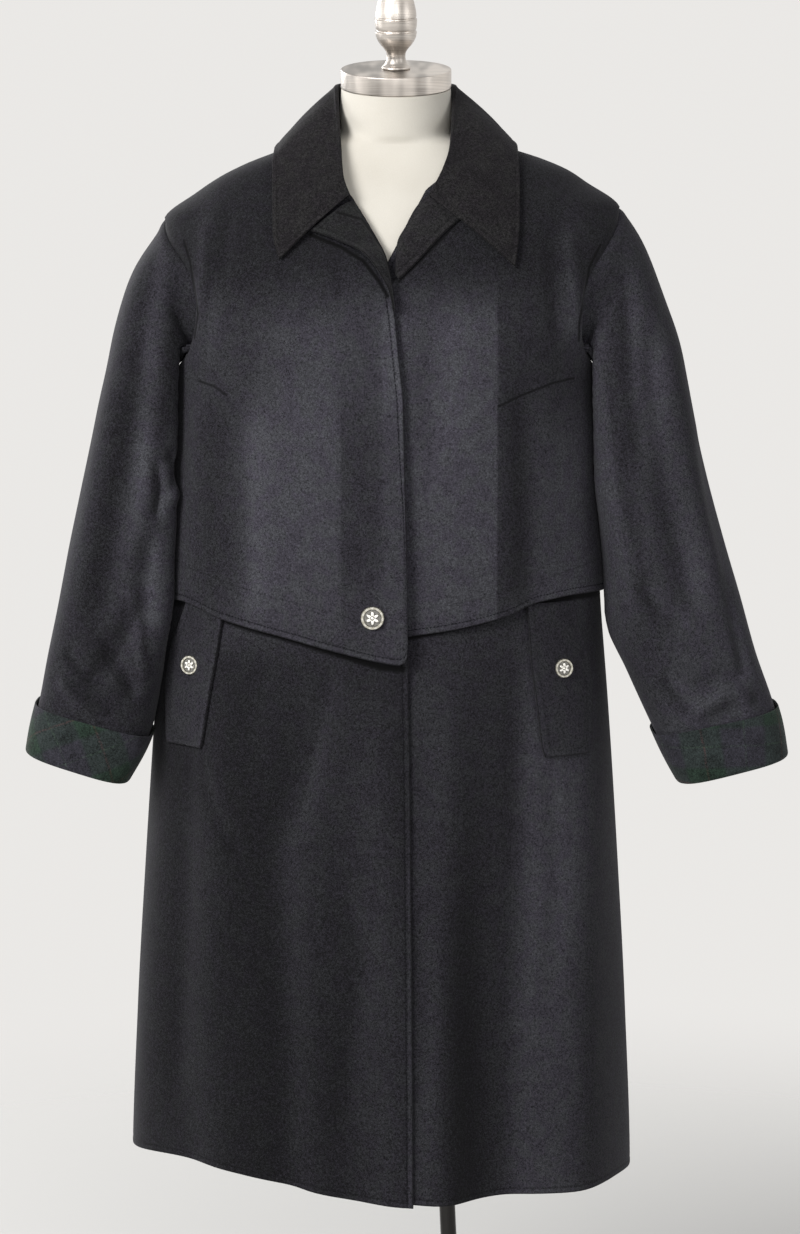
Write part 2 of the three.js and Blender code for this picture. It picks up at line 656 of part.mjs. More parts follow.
// The collar: a stand that rises from the neckline, folds outwards and falls to its edge.
function collarRows() {
  const rows = [];
  for (let i = 0; i < (COLLAR.length - 1) * COLLAR_SUBSTEPS + 1; i++) {
    const row = {};
    for (const key of Object.keys(COLLAR[0])) {
      const table = COLLAR.map((line, k) => ({ k, value: line[key] }));
      row[key] = smooth(table, "value", "k", i / COLLAR_SUBSTEPS);
    }
    rows.push(row);
  }
  return rows;
}

function collarGrid() {
  const rows = collarRows();
  const folds = rows.map((row) => new THREE.Vector3(row.x, row.y, row.z));
  return rows.map((row, i) => {
    const along = folds[Math.min(i + 1, folds.length - 1)].clone();
    along.sub(folds[Math.max(i - 1, 0)]).normalize();
    const turn = radians(row.turn);
    const out = new THREE.Vector3(Math.sin(turn), -Math.cos(turn), 0);
    out.addScaledVector(along, -out.dot(along)).normalize();
    const crest = out.clone().cross(along).normalize();
    if (crest.z < 0) crest.negate();
    const neckSide = folds[i].clone().addScaledVector(out, -COLLAR_FOLD);
    neckSide.addScaledVector(crest, -COLLAR_FOLD);
    const outSide = folds[i].clone().addScaledVector(out, COLLAR_FOLD);
    outSide.addScaledVector(crest, -COLLAR_FOLD);
    const seam = onBody(row.seamTurn, row.seamZ, row.seamLift);
    const edge = clearOfBody(collarEdge(row), COLLAR_EDGE_LIFT);
    const line = [seam, neckSide, folds[i], outSide];
    for (let k = 1; k <= FALL_STEPS; k++) {
      const share = k / FALL_STEPS;
      const point = outSide.clone().lerp(edge, share);
      point.addScaledVector(out, COLLAR_BULGE * Math.sin(Math.PI * share));
      line.push(clearOfBody(point, COLLAR_LEAST_LIFT));
    }
    return line;
  });
}

function collarEdge(row) {
  const section = sectionAt(row.edgeZ);
  const across = Math.min(0.985, Math.abs((row.edgeX - section.mid) / section.half));
  const depth = (1 - across ** section.square) ** (1 / section.square);
  const behind = row.turn < COLLAR_BEHIND.from && row.turn > COLLAR_BEHIND.to;
  const y = behind ? section.back * depth : -section.front * depth;
  return new THREE.Vector3(row.edgeX, y, row.edgeZ);
}

function gridNormal(grid, r, c) {
  const row = (k) => grid[THREE.MathUtils.clamp(k, 0, grid.length - 1)];
  const cell = (line, k) => line[THREE.MathUtils.clamp(k, 0, line.length - 1)];
  const down = cell(row(r), c + 1).clone().sub(cell(row(r), c - 1));
  const along = row(r + 1)[c].clone().sub(row(r - 1)[c]);
  return down.cross(along).normalize();
}

const collarOuter = collarGrid();
const collarInner = collarOuter.map((line, r) =>
  line.map((point, c) => point.clone().addScaledVector(gridNormal(collarOuter, r, c), CLOTH)),
);
add("collar", sheet(collarOuter, collarInner), wool);

// Sleeves: rings that fan out round the armpit and then go down the arm.
function armholePoint(side, degrees) {
  const middle = (ARM_TOP + ARM_BOTTOM) / 2;
  const z = middle + (ARM_TOP - middle) * Math.cos(radians(degrees));
  const forward = Math.sin(radians(degrees));
  const round = side * (90 - ARM_REACH * forward);
  const point = onBody(round, z, LAYER * ease(3 * forward + 1));
  point.x += side * ARMHOLE_GAP;
  return point;
}

function sleevePoint(side, rows, ring, degrees, lift) {
  const cos = Math.cos(radians(degrees));
  const sin = Math.sin(radians(degrees));
  if (ring === 0) {
    const point = armholePoint(side, degrees);
    point.y -= lift * sin;
    point.z += lift * cos;
    return point;
  }
  const table = rows.map((row, k) => ({ k: k + 1, ...row }));
  const at = (key) => smooth(table, key, "k", ring);
  const outer = new THREE.Vector3(at("outX"), at("y"), at("outZ"));
  const inner = new THREE.Vector3(at("inX"), at("y"), at("inZ"));
  const across = outer.clone().sub(inner).multiplyScalar(0.5);
  const middle = outer.clone().add(inner).multiplyScalar(0.5);
  const half = across.length() + lift;
  const power = 2 / SLEEVE_SQUARE;
  const point = middle.addScaledVector(
    across.normalize(),
    half * Math.sign(cos) * Math.abs(cos) ** power,
  );
  point.y -= (at("deep") + lift) * Math.sign(sin) * Math.abs(sin) ** power;
  if (point.z >= SLEEVE_PUSHED_BELOW) return point;
  const high = Math.min(SLEEVE_AIR.most, SLEEVE_AIR.first + SLEEVE_AIR.grow * ring);
  const air = mix(SLEEVE_AIR.low, high, between(SLEEVE_AIR.from, SLEEVE_AIR.full, point.z));
  return besideBody(point, side, air - lift);
}

function sleeveHalf(side, rows, from, to) {
  const step = 360 / SLEEVE_COLUMNS;
  const angles = [];
  for (let a = from; a <= to; a += step) angles.push(a);
  angles[0] += SLEEVE_SEAM_TURN;
  angles[angles.length - 1] -= SLEEVE_SEAM_TURN;
  const rings = [0, ...rows.map((row, k) => k + 1)];
  rings[rings.length - 1] -= CUFF_END;
  const grid = (lift) =>
    rings.map((ring) => angles.map((angle) => sleevePoint(side, rows, ring, angle, lift)));
  return sheet(grid(0), grid(-CLOTH));
}

function cuff(side, rows) {
  const end = rows.length;
  const top = end - CUFF_DEPTH;
  const low = end - CUFF_END + 0.01;
  const outerTop = CUFF_OFF + CUFF_FLARE + CLOTH;
  const outerLow = CUFF_OFF + CLOTH;
  const outline = [
    { ring: top, lift: outerTop },
    { ring: mix(top, end, 0.5), lift: mix(outerTop, outerLow, 0.6) },
    { ring: end - 0.03, lift: outerLow },
    { ring: end, lift: outerLow - 1 },
    { ring: end, lift: -CLOTH },
    { ring: low, lift: -CLOTH },
    { ring: low, lift: CUFF_OFF },
    { ring: mix(top, end, 0.5), lift: mix(outerTop, outerLow, 0.6) - CLOTH },
    { ring: top, lift: outerTop - CLOTH },
  ];
  const rings = outline.map(({ ring, lift }) => {
    const points = [];
    for (let c = 0; c < SLEEVE_COLUMNS; c++)
      points.push(sleevePoint(side, rows, ring, (360 * c) / SLEEVE_COLUMNS, lift));
    return points;
  });
  return stack(rings, true);
}

const arms = [
  { name: "right", side: -1, rows: RIGHT_SLEEVE },
  { name: "left", side: 1, rows: LEFT_SLEEVE },
];
for (const { name, side, rows } of arms) {
  const far = 360 - UNDER_SLEEVE_FROM;
  add(name + "_upper_sleeve", sleeveHalf(side, rows, far - 360, UNDER_SLEEVE_FROM), wool);
  add(name + "_under_sleeve", sleeveHalf(side, rows, UNDER_SLEEVE_FROM, far), wool);
  add(name + "_cuff", cuff(side, rows), checked);
}

// Pocket welts, sewn on the fronts with their tops under the cape.
function welt(rows) {
  const grid = (lift) => rows.map((row) => {
    const line = [];
    for (let c = 0; c <= WELT_COLUMNS; c++)
      line.push(onBody(frontAngle(mix(row.inX, row.outX, c / WELT_COLUMNS), row.z), row.z, lift));
    return line;
  });
  return sheet(grid(LAYER), grid(LAYER - CLOTH));
}

add("right_pocket_welt", welt(RIGHT_WELT), wool);
add("left_pocket_welt", welt(LEFT_WELT), wool);

// Buttons: a shallow dish with a raised rim, on a short shank.
function button(name, { x, z, radius }, lift) {
  const outline = BUTTON_OUTLINE.map(
    ({ share, height }) => new THREE.Vector2(share * radius, height),
  );
  const mesh = add(name, new THREE.LatheGeometry(outline, BUTTON_SEGMENTS), silver);
  const degrees = frontAngle(x, z);
  const out = bodyNormal(degrees, z);
  mesh.position.copy(onBody(degrees, z, lift + SEAM));
  mesh.quaternion.setFromUnitVectors(new THREE.Vector3(0, 1, 0), out);
}

const buttonLap = lapLift(frontAngle(FRONT_BUTTON.x, FRONT_BUTTON.z), FRONT_BUTTON.z);
button("front_button", FRONT_BUTTON, buttonLap + LAYER + capeFlare(FRONT_BUTTON.z));
button("right_pocket_button", RIGHT_POCKET_BUTTON, LAYER);
button("left_pocket_button", LEFT_POCKET_BUTTON, LAYER);

// The dress form. Its shoulders follow the coat's own, which rests on them.
function torsoPoint(degrees, z) {
  const own = sectionAt(z, TORSO);
  const coat = sectionAt(z);
  const turn = radians(degrees);
  const normal = bodyNormal(degrees, z);
  const level = Math.hypot(normal.x, normal.y);
  const limit = radiusOf(coat, degrees) - TORSO_INSET / level;
  const high = between(TORSO_FOLLOWS.from, TORSO_FOLLOWS.full, z);
  const radius = mix(radiusOf(own, degrees), Math.min(radiusOf(own, degrees), limit), high);
  const mid = mix(own.mid, coat.mid, high);
  return new THREE.Vector3(mid + radius * Math.sin(turn), -radius * Math.cos(turn), z);
}

function neckRing({ z, y, radius, tip }) {
  const points = [];
  for (let c = 0; c < TORSO_COLUMNS; c++) {
    const turn = (2 * Math.PI * c) / TORSO_COLUMNS;
    const forward = -radius * Math.cos(turn);
    const rise = forward * Math.tan(radians(tip));
    points.push(new THREE.Vector3(NECK_X + radius * Math.sin(turn), y + forward, z + rise));
  }
  return points;
}

function torso() {
  const levels = [...TORSO.map((row) => row.z), ...SHOULDER_LEVELS.slice(0, -1)];
  const rings = levels.map((z) => {
    const points = [];
    for (let c = 0; c < TORSO_COLUMNS; c++) points.push(torsoPoint((360 * c) / TORSO_COLUMNS, z));
    return points;
  });
  return stack([...rings, ...NECK_RINGS.map(neckRing)]);
}

add("form_torso", torso(), ivory);

const neckTop = new THREE.Group();
const lastNeck = NECK_RINGS[NECK_RINGS.length - 1];
neckTop.position.set(NECK_X, lastNeck.y, lastNeck.z);
neckTop.rotation.x = radians(NECK_TIP);
coatOnForm.add(neckTop);

function turned(points, segments) {
  const geometry = new THREE.LatheGeometry(points, segments);
  geometry.rotateX(Math.PI / 2);
  return geometry;
}

const capOutline = [
  new THREE.Vector2(0, SEAM),
  new THREE.Vector2(CAP_RADIUS - 1, SEAM),
  new THREE.Vector2(CAP_RADIUS, SEAM + 1),
  new THREE.Vector2(CAP_RADIUS, CAP_HEIGHT - 1.5),
  new THREE.Vector2(CAP_RADIUS - 1.5, CAP_HEIGHT),
  new THREE.Vector2(0, CAP_HEIGHT),
];
add("form_neck_cap", turned(capOutline, 40), steel, neckTop);

const finialOutline = FINIAL_OUTLINE.map(({ radius, height }) => new THREE.Vector2(radius, height));
finialOutline.unshift(new THREE.Vector2(0, 0));
finialOutline.push(new THREE.Vector2(0, FINIAL_OUTLINE[FINIAL_OUTLINE.length - 1].height + 1));
const finial = add("form_finial", turned(finialOutline, 24), steel, neckTop);
finial.position.z = CAP_HEIGHT + SEAM;

// The stand. Its upright parts lean with the torso, its base lies flat.
function leaning(outline, segments) {
  const geometry = turned(outline.map(([radius, height]) => new THREE.Vector2(radius, height)), segments);
  const lean = new THREE.Matrix4().makeShear(0, 0, 0, 0, -LEAN, 0);
  return geometry.applyMatrix4(lean);
}

const torsoFoot = TORSO[0].z;
const poleFoot = BASE_HEIGHT + SEAM;
const pole = add("form_pole", leaning([
  [0, poleFoot],
  [POLE_RADIUS, poleFoot],
  [POLE_RADIUS, torsoFoot - SOCKET_HEIGHT - SOCKET_FLARE_HEIGHT],
  [POLE_RADIUS + SOCKET_FLARE, torsoFoot - SOCKET_HEIGHT],
  [SOCKET_RADIUS, torsoFoot - SOCKET_HEIGHT],
  [SOCKET_RADIUS, torsoFoot - SEAM],
  [0, torsoFoot - SEAM],
], 20), steel);
pole.position.x = FOOT_X;

const bore = POLE_RADIUS + SEAM;
const hub = add("form_hub", leaning([
  [bore, poleFoot],
  [HUB_RADIUS + HUB_FOOT, poleFoot],
  [HUB_RADIUS + HUB_FOOT, poleFoot + HUB_FOOT_HEIGHT],
  [HUB_RADIUS, poleFoot + HUB_FOOT],
  [HUB_RADIUS - HUB_NARROWS, HUB_HEIGHT + BASE_HEIGHT],
  [bore, HUB_HEIGHT + BASE_HEIGHT],
  [bore, poleFoot],
], 20), steel);
hub.position.x = FOOT_X;

const base = add("form_base", turned([
  new THREE.Vector2(0, 0),
  new THREE.Vector2(BASE_RADIUS - BASE_EDGE, 0),
  new THREE.Vector2(BASE_RADIUS, BASE_EDGE),
  new THREE.Vector2(BASE_RADIUS, BASE_HEIGHT - BASE_SLOPE_HEIGHT),
  new THREE.Vector2(BASE_RADIUS - BASE_SLOPE, BASE_HEIGHT),
  new THREE.Vector2(0, BASE_HEIGHT),
], 40), steel);
base.position.x = FOOT_X;

export default coatOnForm;
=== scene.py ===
import math

import bpy
import numpy as np
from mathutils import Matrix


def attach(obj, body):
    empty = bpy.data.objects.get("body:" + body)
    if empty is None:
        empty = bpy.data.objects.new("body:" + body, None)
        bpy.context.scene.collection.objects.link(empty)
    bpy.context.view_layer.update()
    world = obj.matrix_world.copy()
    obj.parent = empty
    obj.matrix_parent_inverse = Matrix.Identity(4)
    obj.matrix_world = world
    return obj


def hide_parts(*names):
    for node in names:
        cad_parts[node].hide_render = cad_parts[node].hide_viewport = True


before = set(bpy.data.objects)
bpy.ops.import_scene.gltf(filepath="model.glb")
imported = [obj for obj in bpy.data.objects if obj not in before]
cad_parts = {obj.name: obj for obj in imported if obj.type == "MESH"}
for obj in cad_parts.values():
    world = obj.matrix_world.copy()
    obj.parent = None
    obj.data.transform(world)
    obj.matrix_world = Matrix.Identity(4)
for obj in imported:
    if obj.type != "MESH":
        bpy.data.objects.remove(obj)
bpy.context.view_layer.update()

# The view: 3.3 m in front of the coat at neck height, tipped a little down, as the photograph.
camera = bpy.data.objects.new("camera", bpy.data.cameras.new("camera"))
camera.data.sensor_fit = "HORIZONTAL"
camera.data.sensor_width = 36
camera.data.lens = 144.2
camera.location = (-0.065, -3.3, 1.39)
camera.rotation_euler = (math.radians(82.5), 0, 0)
bpy.context.collection.objects.link(camera)
bpy.context.scene.camera = camera
bpy.context.scene.view_settings.view_transform = "Standard"


# The studio: a pale floor that fades into an even pale ground, one soft light high on the
# left, weak ones in front and at each side, and one from behind, so that no side is lost.
class Value:
    """A number or colour on its way through a material; the usual signs add its maths."""

    def __init__(self, finish, socket):
        self.finish = finish
        self.socket = socket

    def maths(self, operation, other=0.0, after=False):
        first, second = (other, self) if after else (self, other)
        return self.finish.node("ShaderNodeMath", {"operation": operation}, {0: first, 1: second})

    def __add__(self, other):
        return self.maths("ADD", other)

    def __sub__(self, other):
        return self.maths("SUBTRACT", other)

    def __rsub__(self, other):
        return self.maths("SUBTRACT", other, True)

    def __mul__(self, other):
        return self.maths("MULTIPLY", other)

    def __truediv__(self, other):
        return self.maths("DIVIDE", other)

    def __pow__(self, other):
        return self.maths("POWER", other)

    __radd__ = __add__
    __rmul__ = __mul__

    def least(self, other):
        return self.maths("MINIMUM", other)

    def most(self, other):
        return self.maths("MAXIMUM", other)

    def eased(self, start, end):
        ends = {"Value": self, "From Min": start, "From Max": end}
        return self.finish.node("ShaderNodeMapRange", {"interpolation_type": "SMOOTHSTEP"}, ends)


class Finish:
    """A material being put together round its shader."""

    def __init__(self, name, **fixed):
        self.material = bpy.data.materials.new(name)
        self.material.use_nodes = True
        self.tree = self.material.node_tree
        self.shader = self.tree.nodes["Principled BSDF"]
        for socket, value in fixed.items():
            self.shader.inputs[socket.replace("_", " ")].default_value = value

    def node(self, kind, settings, sockets, out=0):
        node = self.tree.nodes.new(kind)
        for key, value in settings.items():
            if key == "stops":
                while len(node.color_ramp.elements) < len(value):
                    node.color_ramp.elements.new(1)
                for stop, (place, colour) in zip(node.color_ramp.elements, value):
                    stop.position = place
                    stop.color = (*colour, 1)
            else:
                setattr(node, key, value)
        for key, value in sockets.items():
            if isinstance(value, Value):
                self.tree.links.new(value.socket, node.inputs[key])
            else:
                node.inputs[key].default_value = value
        return Value(self, node.outputs[out])

    def place(self):
        return self.node("ShaderNodeTexCoord", {}, {}, "Object")

    def noise(self, vector, scale, detail=2, roughness=0.6):
        return self.node("ShaderNodeTexNoise", {}, {
            "Vector": vector, "Scale": scale, "Detail": detail, "Roughness": roughness})

    def own(self, label):
        """A number that the piece's points carry."""
        return self.node("ShaderNodeAttribute", {"attribute_name": label}, {}, "Fac")

    def mixed(self, share, first, second):
        return self.node("ShaderNodeMix", {"data_type": "RGBA"}, {0: share, 6: first, 7: second}, 2)

    def scaled(self, colour, factor):
        return self.node("ShaderNodeVectorMath", {"operation": "SCALE"}, {
            0: colour, "Scale": factor}, "Vector")

    def feed(self, socket, value):
        self.tree.links.new(value.socket, self.shader.inputs[socket])

    def raised(self, height, distance, strength=1.0):
        bump = self.node("ShaderNodeBump", {}, {
            "Height": height, "Distance": distance, "Strength": strength})
        self.feed("Normal", bump)


floor_mesh = bpy.data.meshes.new("floor")
floor_mesh.from_pydata([(-6, -6, 0), (6, -6, 0), (6, 6, 0), (-6, 6, 0)], [], [(0, 1, 2, 3)])
floor = bpy.data.objects.new("floor", floor_mesh)
bpy.context.collection.objects.link(floor)
ground = Finish("pale_floor", Base_Color=(0.72, 0.71, 0.69, 1), Roughness=0.9)
away = ground.node("ShaderNodeVectorMath", {"operation": "LENGTH"}, {0: ground.place()}, "Value")
clear = ground.node("ShaderNodeBsdfTransparent", {}, {})
faded = ground.node("ShaderNodeMixShader", {}, {
    0: away.eased(0.7, 2.2), 1: Value(ground, ground.shader.outputs[0]), 2: clear})
ground.tree.links.new(faded.socket, ground.tree.nodes["Material Output"].inputs["Surface"])
floor_mesh.materials.append(ground.material)

world = bpy.data.worlds.new("studio")
world.use_nodes = True
bpy.context.scene.world = world
sky = world.node_tree
lit = sky.nodes["Background"]
lit.inputs["Color"].default_value = (0.80, 0.81, 0.82, 1)
lit.inputs["Strength"].default_value = 0.36
seen = sky.nodes.new("ShaderNodeBackground")
seen.inputs["Color"].default_value = (0.825, 0.81, 0.79, 1)
seen.inputs["Strength"].default_value = 1.0
which = sky.nodes.new("ShaderNodeMixShader")
path = sky.nodes.new("ShaderNodeLightPath")
either = sky.nodes.new("ShaderNodeMath")
either.operation = "MAXIMUM"
sky.links.new(path.outputs["Is Camera Ray"], either.inputs[0])
sky.links.new(path.outputs["Is Glossy Ray"], either.inputs[1])
sky.links.new(either.outputs[0], which.inputs[0])
sky.links.new(lit.outputs[0], which.inputs[1])
sky.links.new(seen.outputs[0], which.inputs[2])
sky.links.new(which.outputs[0], sky.nodes["World Output"].inputs["Surface"])


def soft_light(name, place, aim, size, power):
    data = bpy.data.lights.new(name, "AREA")
    data.size = size
    data.energy = power
    lamp = bpy.data.objects.new(name, data)
    lamp.location = place
    way = np.array(aim, float) - np.array(place, float)
    lamp.rotation_euler = (
        math.atan2(math.hypot(way[0], way[1]), -way[2]), 0, math.atan2(way[1], way[0]) - math.pi / 2)
    bpy.context.collection.objects.link(lamp)


soft_light("key_light", (-1.9, -2.1, 2.35), (-0.07, 0, 1.0), 1.3, 78)
soft_light("front_light", (0.25, -3.6, 1.75), (0, 0, 1.0), 1.2, 16)
soft_light("right_light", (2.4, -1.4, 1.6), (0, 0, 1.0), 1.4, 9)
soft_light("left_light", (-2.6, 0.6, 1.5), (0, 0, 1.0), 1.4, 12)
soft_light("back_light", (-1.8, 2.1, 2.2), (0, 0, 1.0), 1.3, 46)

# The stand: a heavy round steel plate on the floor, a clamp hub and a thin tube that leans a
# little, with the plate on top that carries the torso. Turned and brushed. Sizes in mm, and
# across from the neck's middle, which is FOOT_X to the wearer's right of the tube's foot.
FOOT_X = 65
LEAN = 0.0457
BASE_RADIUS, BASE_HEIGHT = 178, 11
POLE_RADIUS, SOCKET_RADIUS, TORSO_FOOT = 8.5, 32, 800


SHOULDER_DROP, DROP_FROM, DROP_ACROSS, DROP_OVER, DROP_RISE = 11, -60, 190, 1315, 60


def settled(points):
    """The wearer's right shoulder hangs a little lower than the left one."""
    share = np.clip((DROP_FROM - points[:, 0]) / DROP_ACROSS, 0, 1)
    high = np.clip((points[:, 2] - DROP_OVER) / DROP_RISE, 0, 1)
    points[:, 2] -= SHOULDER_DROP * share ** 2 * (3 - 2 * share) * high ** 2 * (3 - 2 * high)
    return points


def piece_of(name, points, faces, finish, uv=None):
    """A mesh in millimetres, smooth, put where it belongs in metres."""
    mesh = bpy.data.meshes.new(name)
    metres = (settled(np.array(points, float)) - (FOOT_X, 0, 0)) / 1000
    mesh.from_pydata(metres.tolist(), [], faces)
    mesh.polygons.foreach_set("use_smooth", [True] * len(mesh.polygons))
    mesh.materials.append(finish)
    if uv is not None:
        mesh.uv_layers.new(name="cloth").data.foreach_set("uv", np.asarray(uv, float).ravel())
    mesh.update()
    piece = bpy.data.objects.new(name, mesh)
    bpy.context.collection.objects.link(piece)
    return piece


def note(piece, label, values):
    """Keeps a number at every point, for the finish to read."""
    kept = piece.data.attributes.new(label, "FLOAT", "POINT")
    kept.data.foreach_set("value", np.asarray(values, float).ravel())


def stands_for(piece, node):
    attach(piece, "root")
    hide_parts(node)


def turned(name, outline, finish, move, segments=96):
    """A turned piece: outline from foot to top as (radius, height), the ends on the axis."""
    angles = np.arange(segments) * 2 * np.pi / segments
    points = [(0, 0, outline[0][1])]
    for radius, height in outline[1:-1]:
        points += [(radius * math.sin(a), -radius * math.cos(a), height) for a in angles]
    points.append((0, 0, outline[-1][1]))
    faces = []
    last = len(outline) - 3
    for c in range(segments):
        d = (c + 1) % segments
        faces.append((0, 1 + d, 1 + c))
        for r in range(last):
            low, high = 1 + r * segments, 1 + (r + 1) * segments
            faces.append((low + c, low + d, high + d, high + c))
        top = 1 + last * segments
        faces.append((top + c, top + d, len(points) - 1))
    piece = piece_of(name, move(np.array(points, float)), faces, finish)
    piece.data.set_sharp_from_angle(angle=math.radians(32))
    return piece


def rounded(corners, radius, steps=4):
    """An outline with its inner corners rounded."""
    out = [corners[0]]
    for a, b, c in zip(corners, corners[1:], corners[2:]):
        a, b, c = (np.array(q, float) for q in (a, b, c))
        cut = min(radius, 0.45 * np.linalg.norm(b - a), 0.45 * np.linalg.norm(c - b))
        start = b + (a - b) / max(np.linalg.norm(b - a), 1e-9) * cut
        end = b + (c - b) / max(np.linalg.norm(c - b), 1e-9) * cut
        for k in range(steps + 1):
            t = k / steps
            out.append(tuple((1 - t) ** 2 * start + 2 * t * (1 - t) * b + t * t * end))
    return out + [corners[-1]]


def brushed_metal(name, colour, rough, round_axis=True, sheen_bands=0.0):
    finish = Finish(name, Metallic=1.0)
    place = finish.place()
    stretch = (3, 3, 300) if round_axis else (300, 300, 6)
    streaks = finish.noise(finish.node("ShaderNodeMapping", {}, {
        "Vector": place, "Scale": stretch}), 4, 3, 0.7)
    cloud = finish.noise(place, 30, 2)
    finish.feed("Roughness", rough + (streaks - 0.5) * 0.25 + (cloud - 0.5) * 0.12)
    # Painted reflection: soft darker bands across the metal, standing for the room seen in a spun rim, as
    # strong as sheen_bands.
    reflection_bands = finish.noise(finish.node("ShaderNodeMapping", {}, {
        "Vector": place, "Scale": (30, 8, 1)}), 1, 2, 0.6)
    grey = 1 - streaks.eased(0.75, 0.25) * 0.25 - reflection_bands.eased(0.62, 0.38) * sheen_bands
    finish.feed("Base Color", finish.scaled(colour, grey))
    finish.raised(streaks, 0.0002, 0.5)
    return finish.material


stand_metal = brushed_metal("stand_metal", (0.62, 0.60, 0.57), 0.32)
pole_metal = brushed_metal("pole_metal", (0.045, 0.043, 0.042), 0.12, False)


def leaning(points):
    points[:, 0] += FOOT_X - LEAN * points[:, 2]
    return points


pole_foot = BASE_HEIGHT + 0.3
base = turned("base", rounded([
    (0, 0), (BASE_RADIUS - 1.5, 0), (BASE_RADIUS, 1.5), (BASE_RADIUS, BASE_HEIGHT - 4),
    (BASE_RADIUS - 6, BASE_HEIGHT), (0, BASE_HEIGHT)], 2.5), stand_metal,
    lambda points: points + (FOOT_X, 0, 0), 128)
stands_for(base, "form_base")
pole = turned("pole", rounded([
    (0, pole_foot), (POLE_RADIUS, pole_foot), (POLE_RADIUS, TORSO_FOOT - 28),
    (POLE_RADIUS + 5, TORSO_FOOT - 8), (SOCKET_RADIUS, TORSO_FOOT - 8),
    (SOCKET_RADIUS, TORSO_FOOT - 0.3), (0, TORSO_FOOT - 0.3)], 1.2), pole_metal, leaning, 48)
stands_for(pole, "form_pole")


def ring_piece(name, outline, finish, move):
    """A turned piece with a hole through it, its outline closed on itself."""
    count, segments = len(outline), 64
    points, faces = [], []
    for k in range(segments):
        a = 2 * math.pi * k / segments
        points += [(r * math.sin(a), -r * math.cos(a), h) for r, h in outline]
        for r in range(count):
            s, n = (r + 1) % count, (k + 1) % segments
            faces.append((k * count + r, n * count + r, n * count + s, k * count + s))
    piece = piece_of(name, move(np.array(points, float)), faces, finish)
    piece.data.set_sharp_from_angle(angle=math.radians(32))
    return piece


hub = ring_piece("hub", [
    (8.8, 11.3), (27, 11.3), (28, 12.3), (28, 15.3), (27, 16.3), (21, 18.5), (19, 21),
    (16.6, 57.6), (15.2, 59), (8.8, 59)], stand_metal, leaning)
stands_for(hub, "form_hub")

# The coat's shape, which torso, panels and sleeves all follow: level sections of the body with
# the folds that hang from chest and waist, and the creases that wearing and hanging leave.
# Level, middle, half width, depth to front and to back, and squareness, 2 being an ellipse.
SECTIONS = np.array([
    (360, -19, 263, 191, 174, 2.2), (550, -19, 256, 182, 163, 2.2), (700, -19, 247, 172, 153, 2.3),
    (870, -19, 235, 162, 143, 2.4), (980, -19, 226, 157, 138, 2.4), (1100, -17, 217, 156, 135, 2.5),
    (1212, -14, 214, 150, 131, 2.6), (1275, -11, 223, 139, 127, 2.6),
    (1342, -9, 240, 112, 112, 2.6), (1377, -8, 229, 92, 99, 2.6), (1400, -8, 197, 79, 89, 2.5),
    (1413, -7, 176, 72, 83, 2.5), (1424, -7, 150, 67, 78, 2.4), (1435, -6, 115, 62, 73, 2.4),
    (1452, -5, 74, 57, 67, 2.3)], float)
# Place in degrees round from the front, width, depth outwards, level of its start, full level.
FOLDS = [
    (16, 11, 11, 930, 420), (35, 12, -15, 960, 430), (58, 11, 8, 900, 450), (-12, 9, -3, 900, 480),
    (-31, 11, 2, 940, 430), (-52, 10, -3, 880, 460), (-72, 10, 6, 820, 480),
    (108, 12, -9, 900, 430), (131, 12, 10, 980, 420), (154, 10, -12, 940, 440),
    (178, 12, 9, 1010, 430), (-157, 11, -11, 930, 450), (-133, 12, 10, 960, 420),
    (-109, 12, -8, 880, 440)]
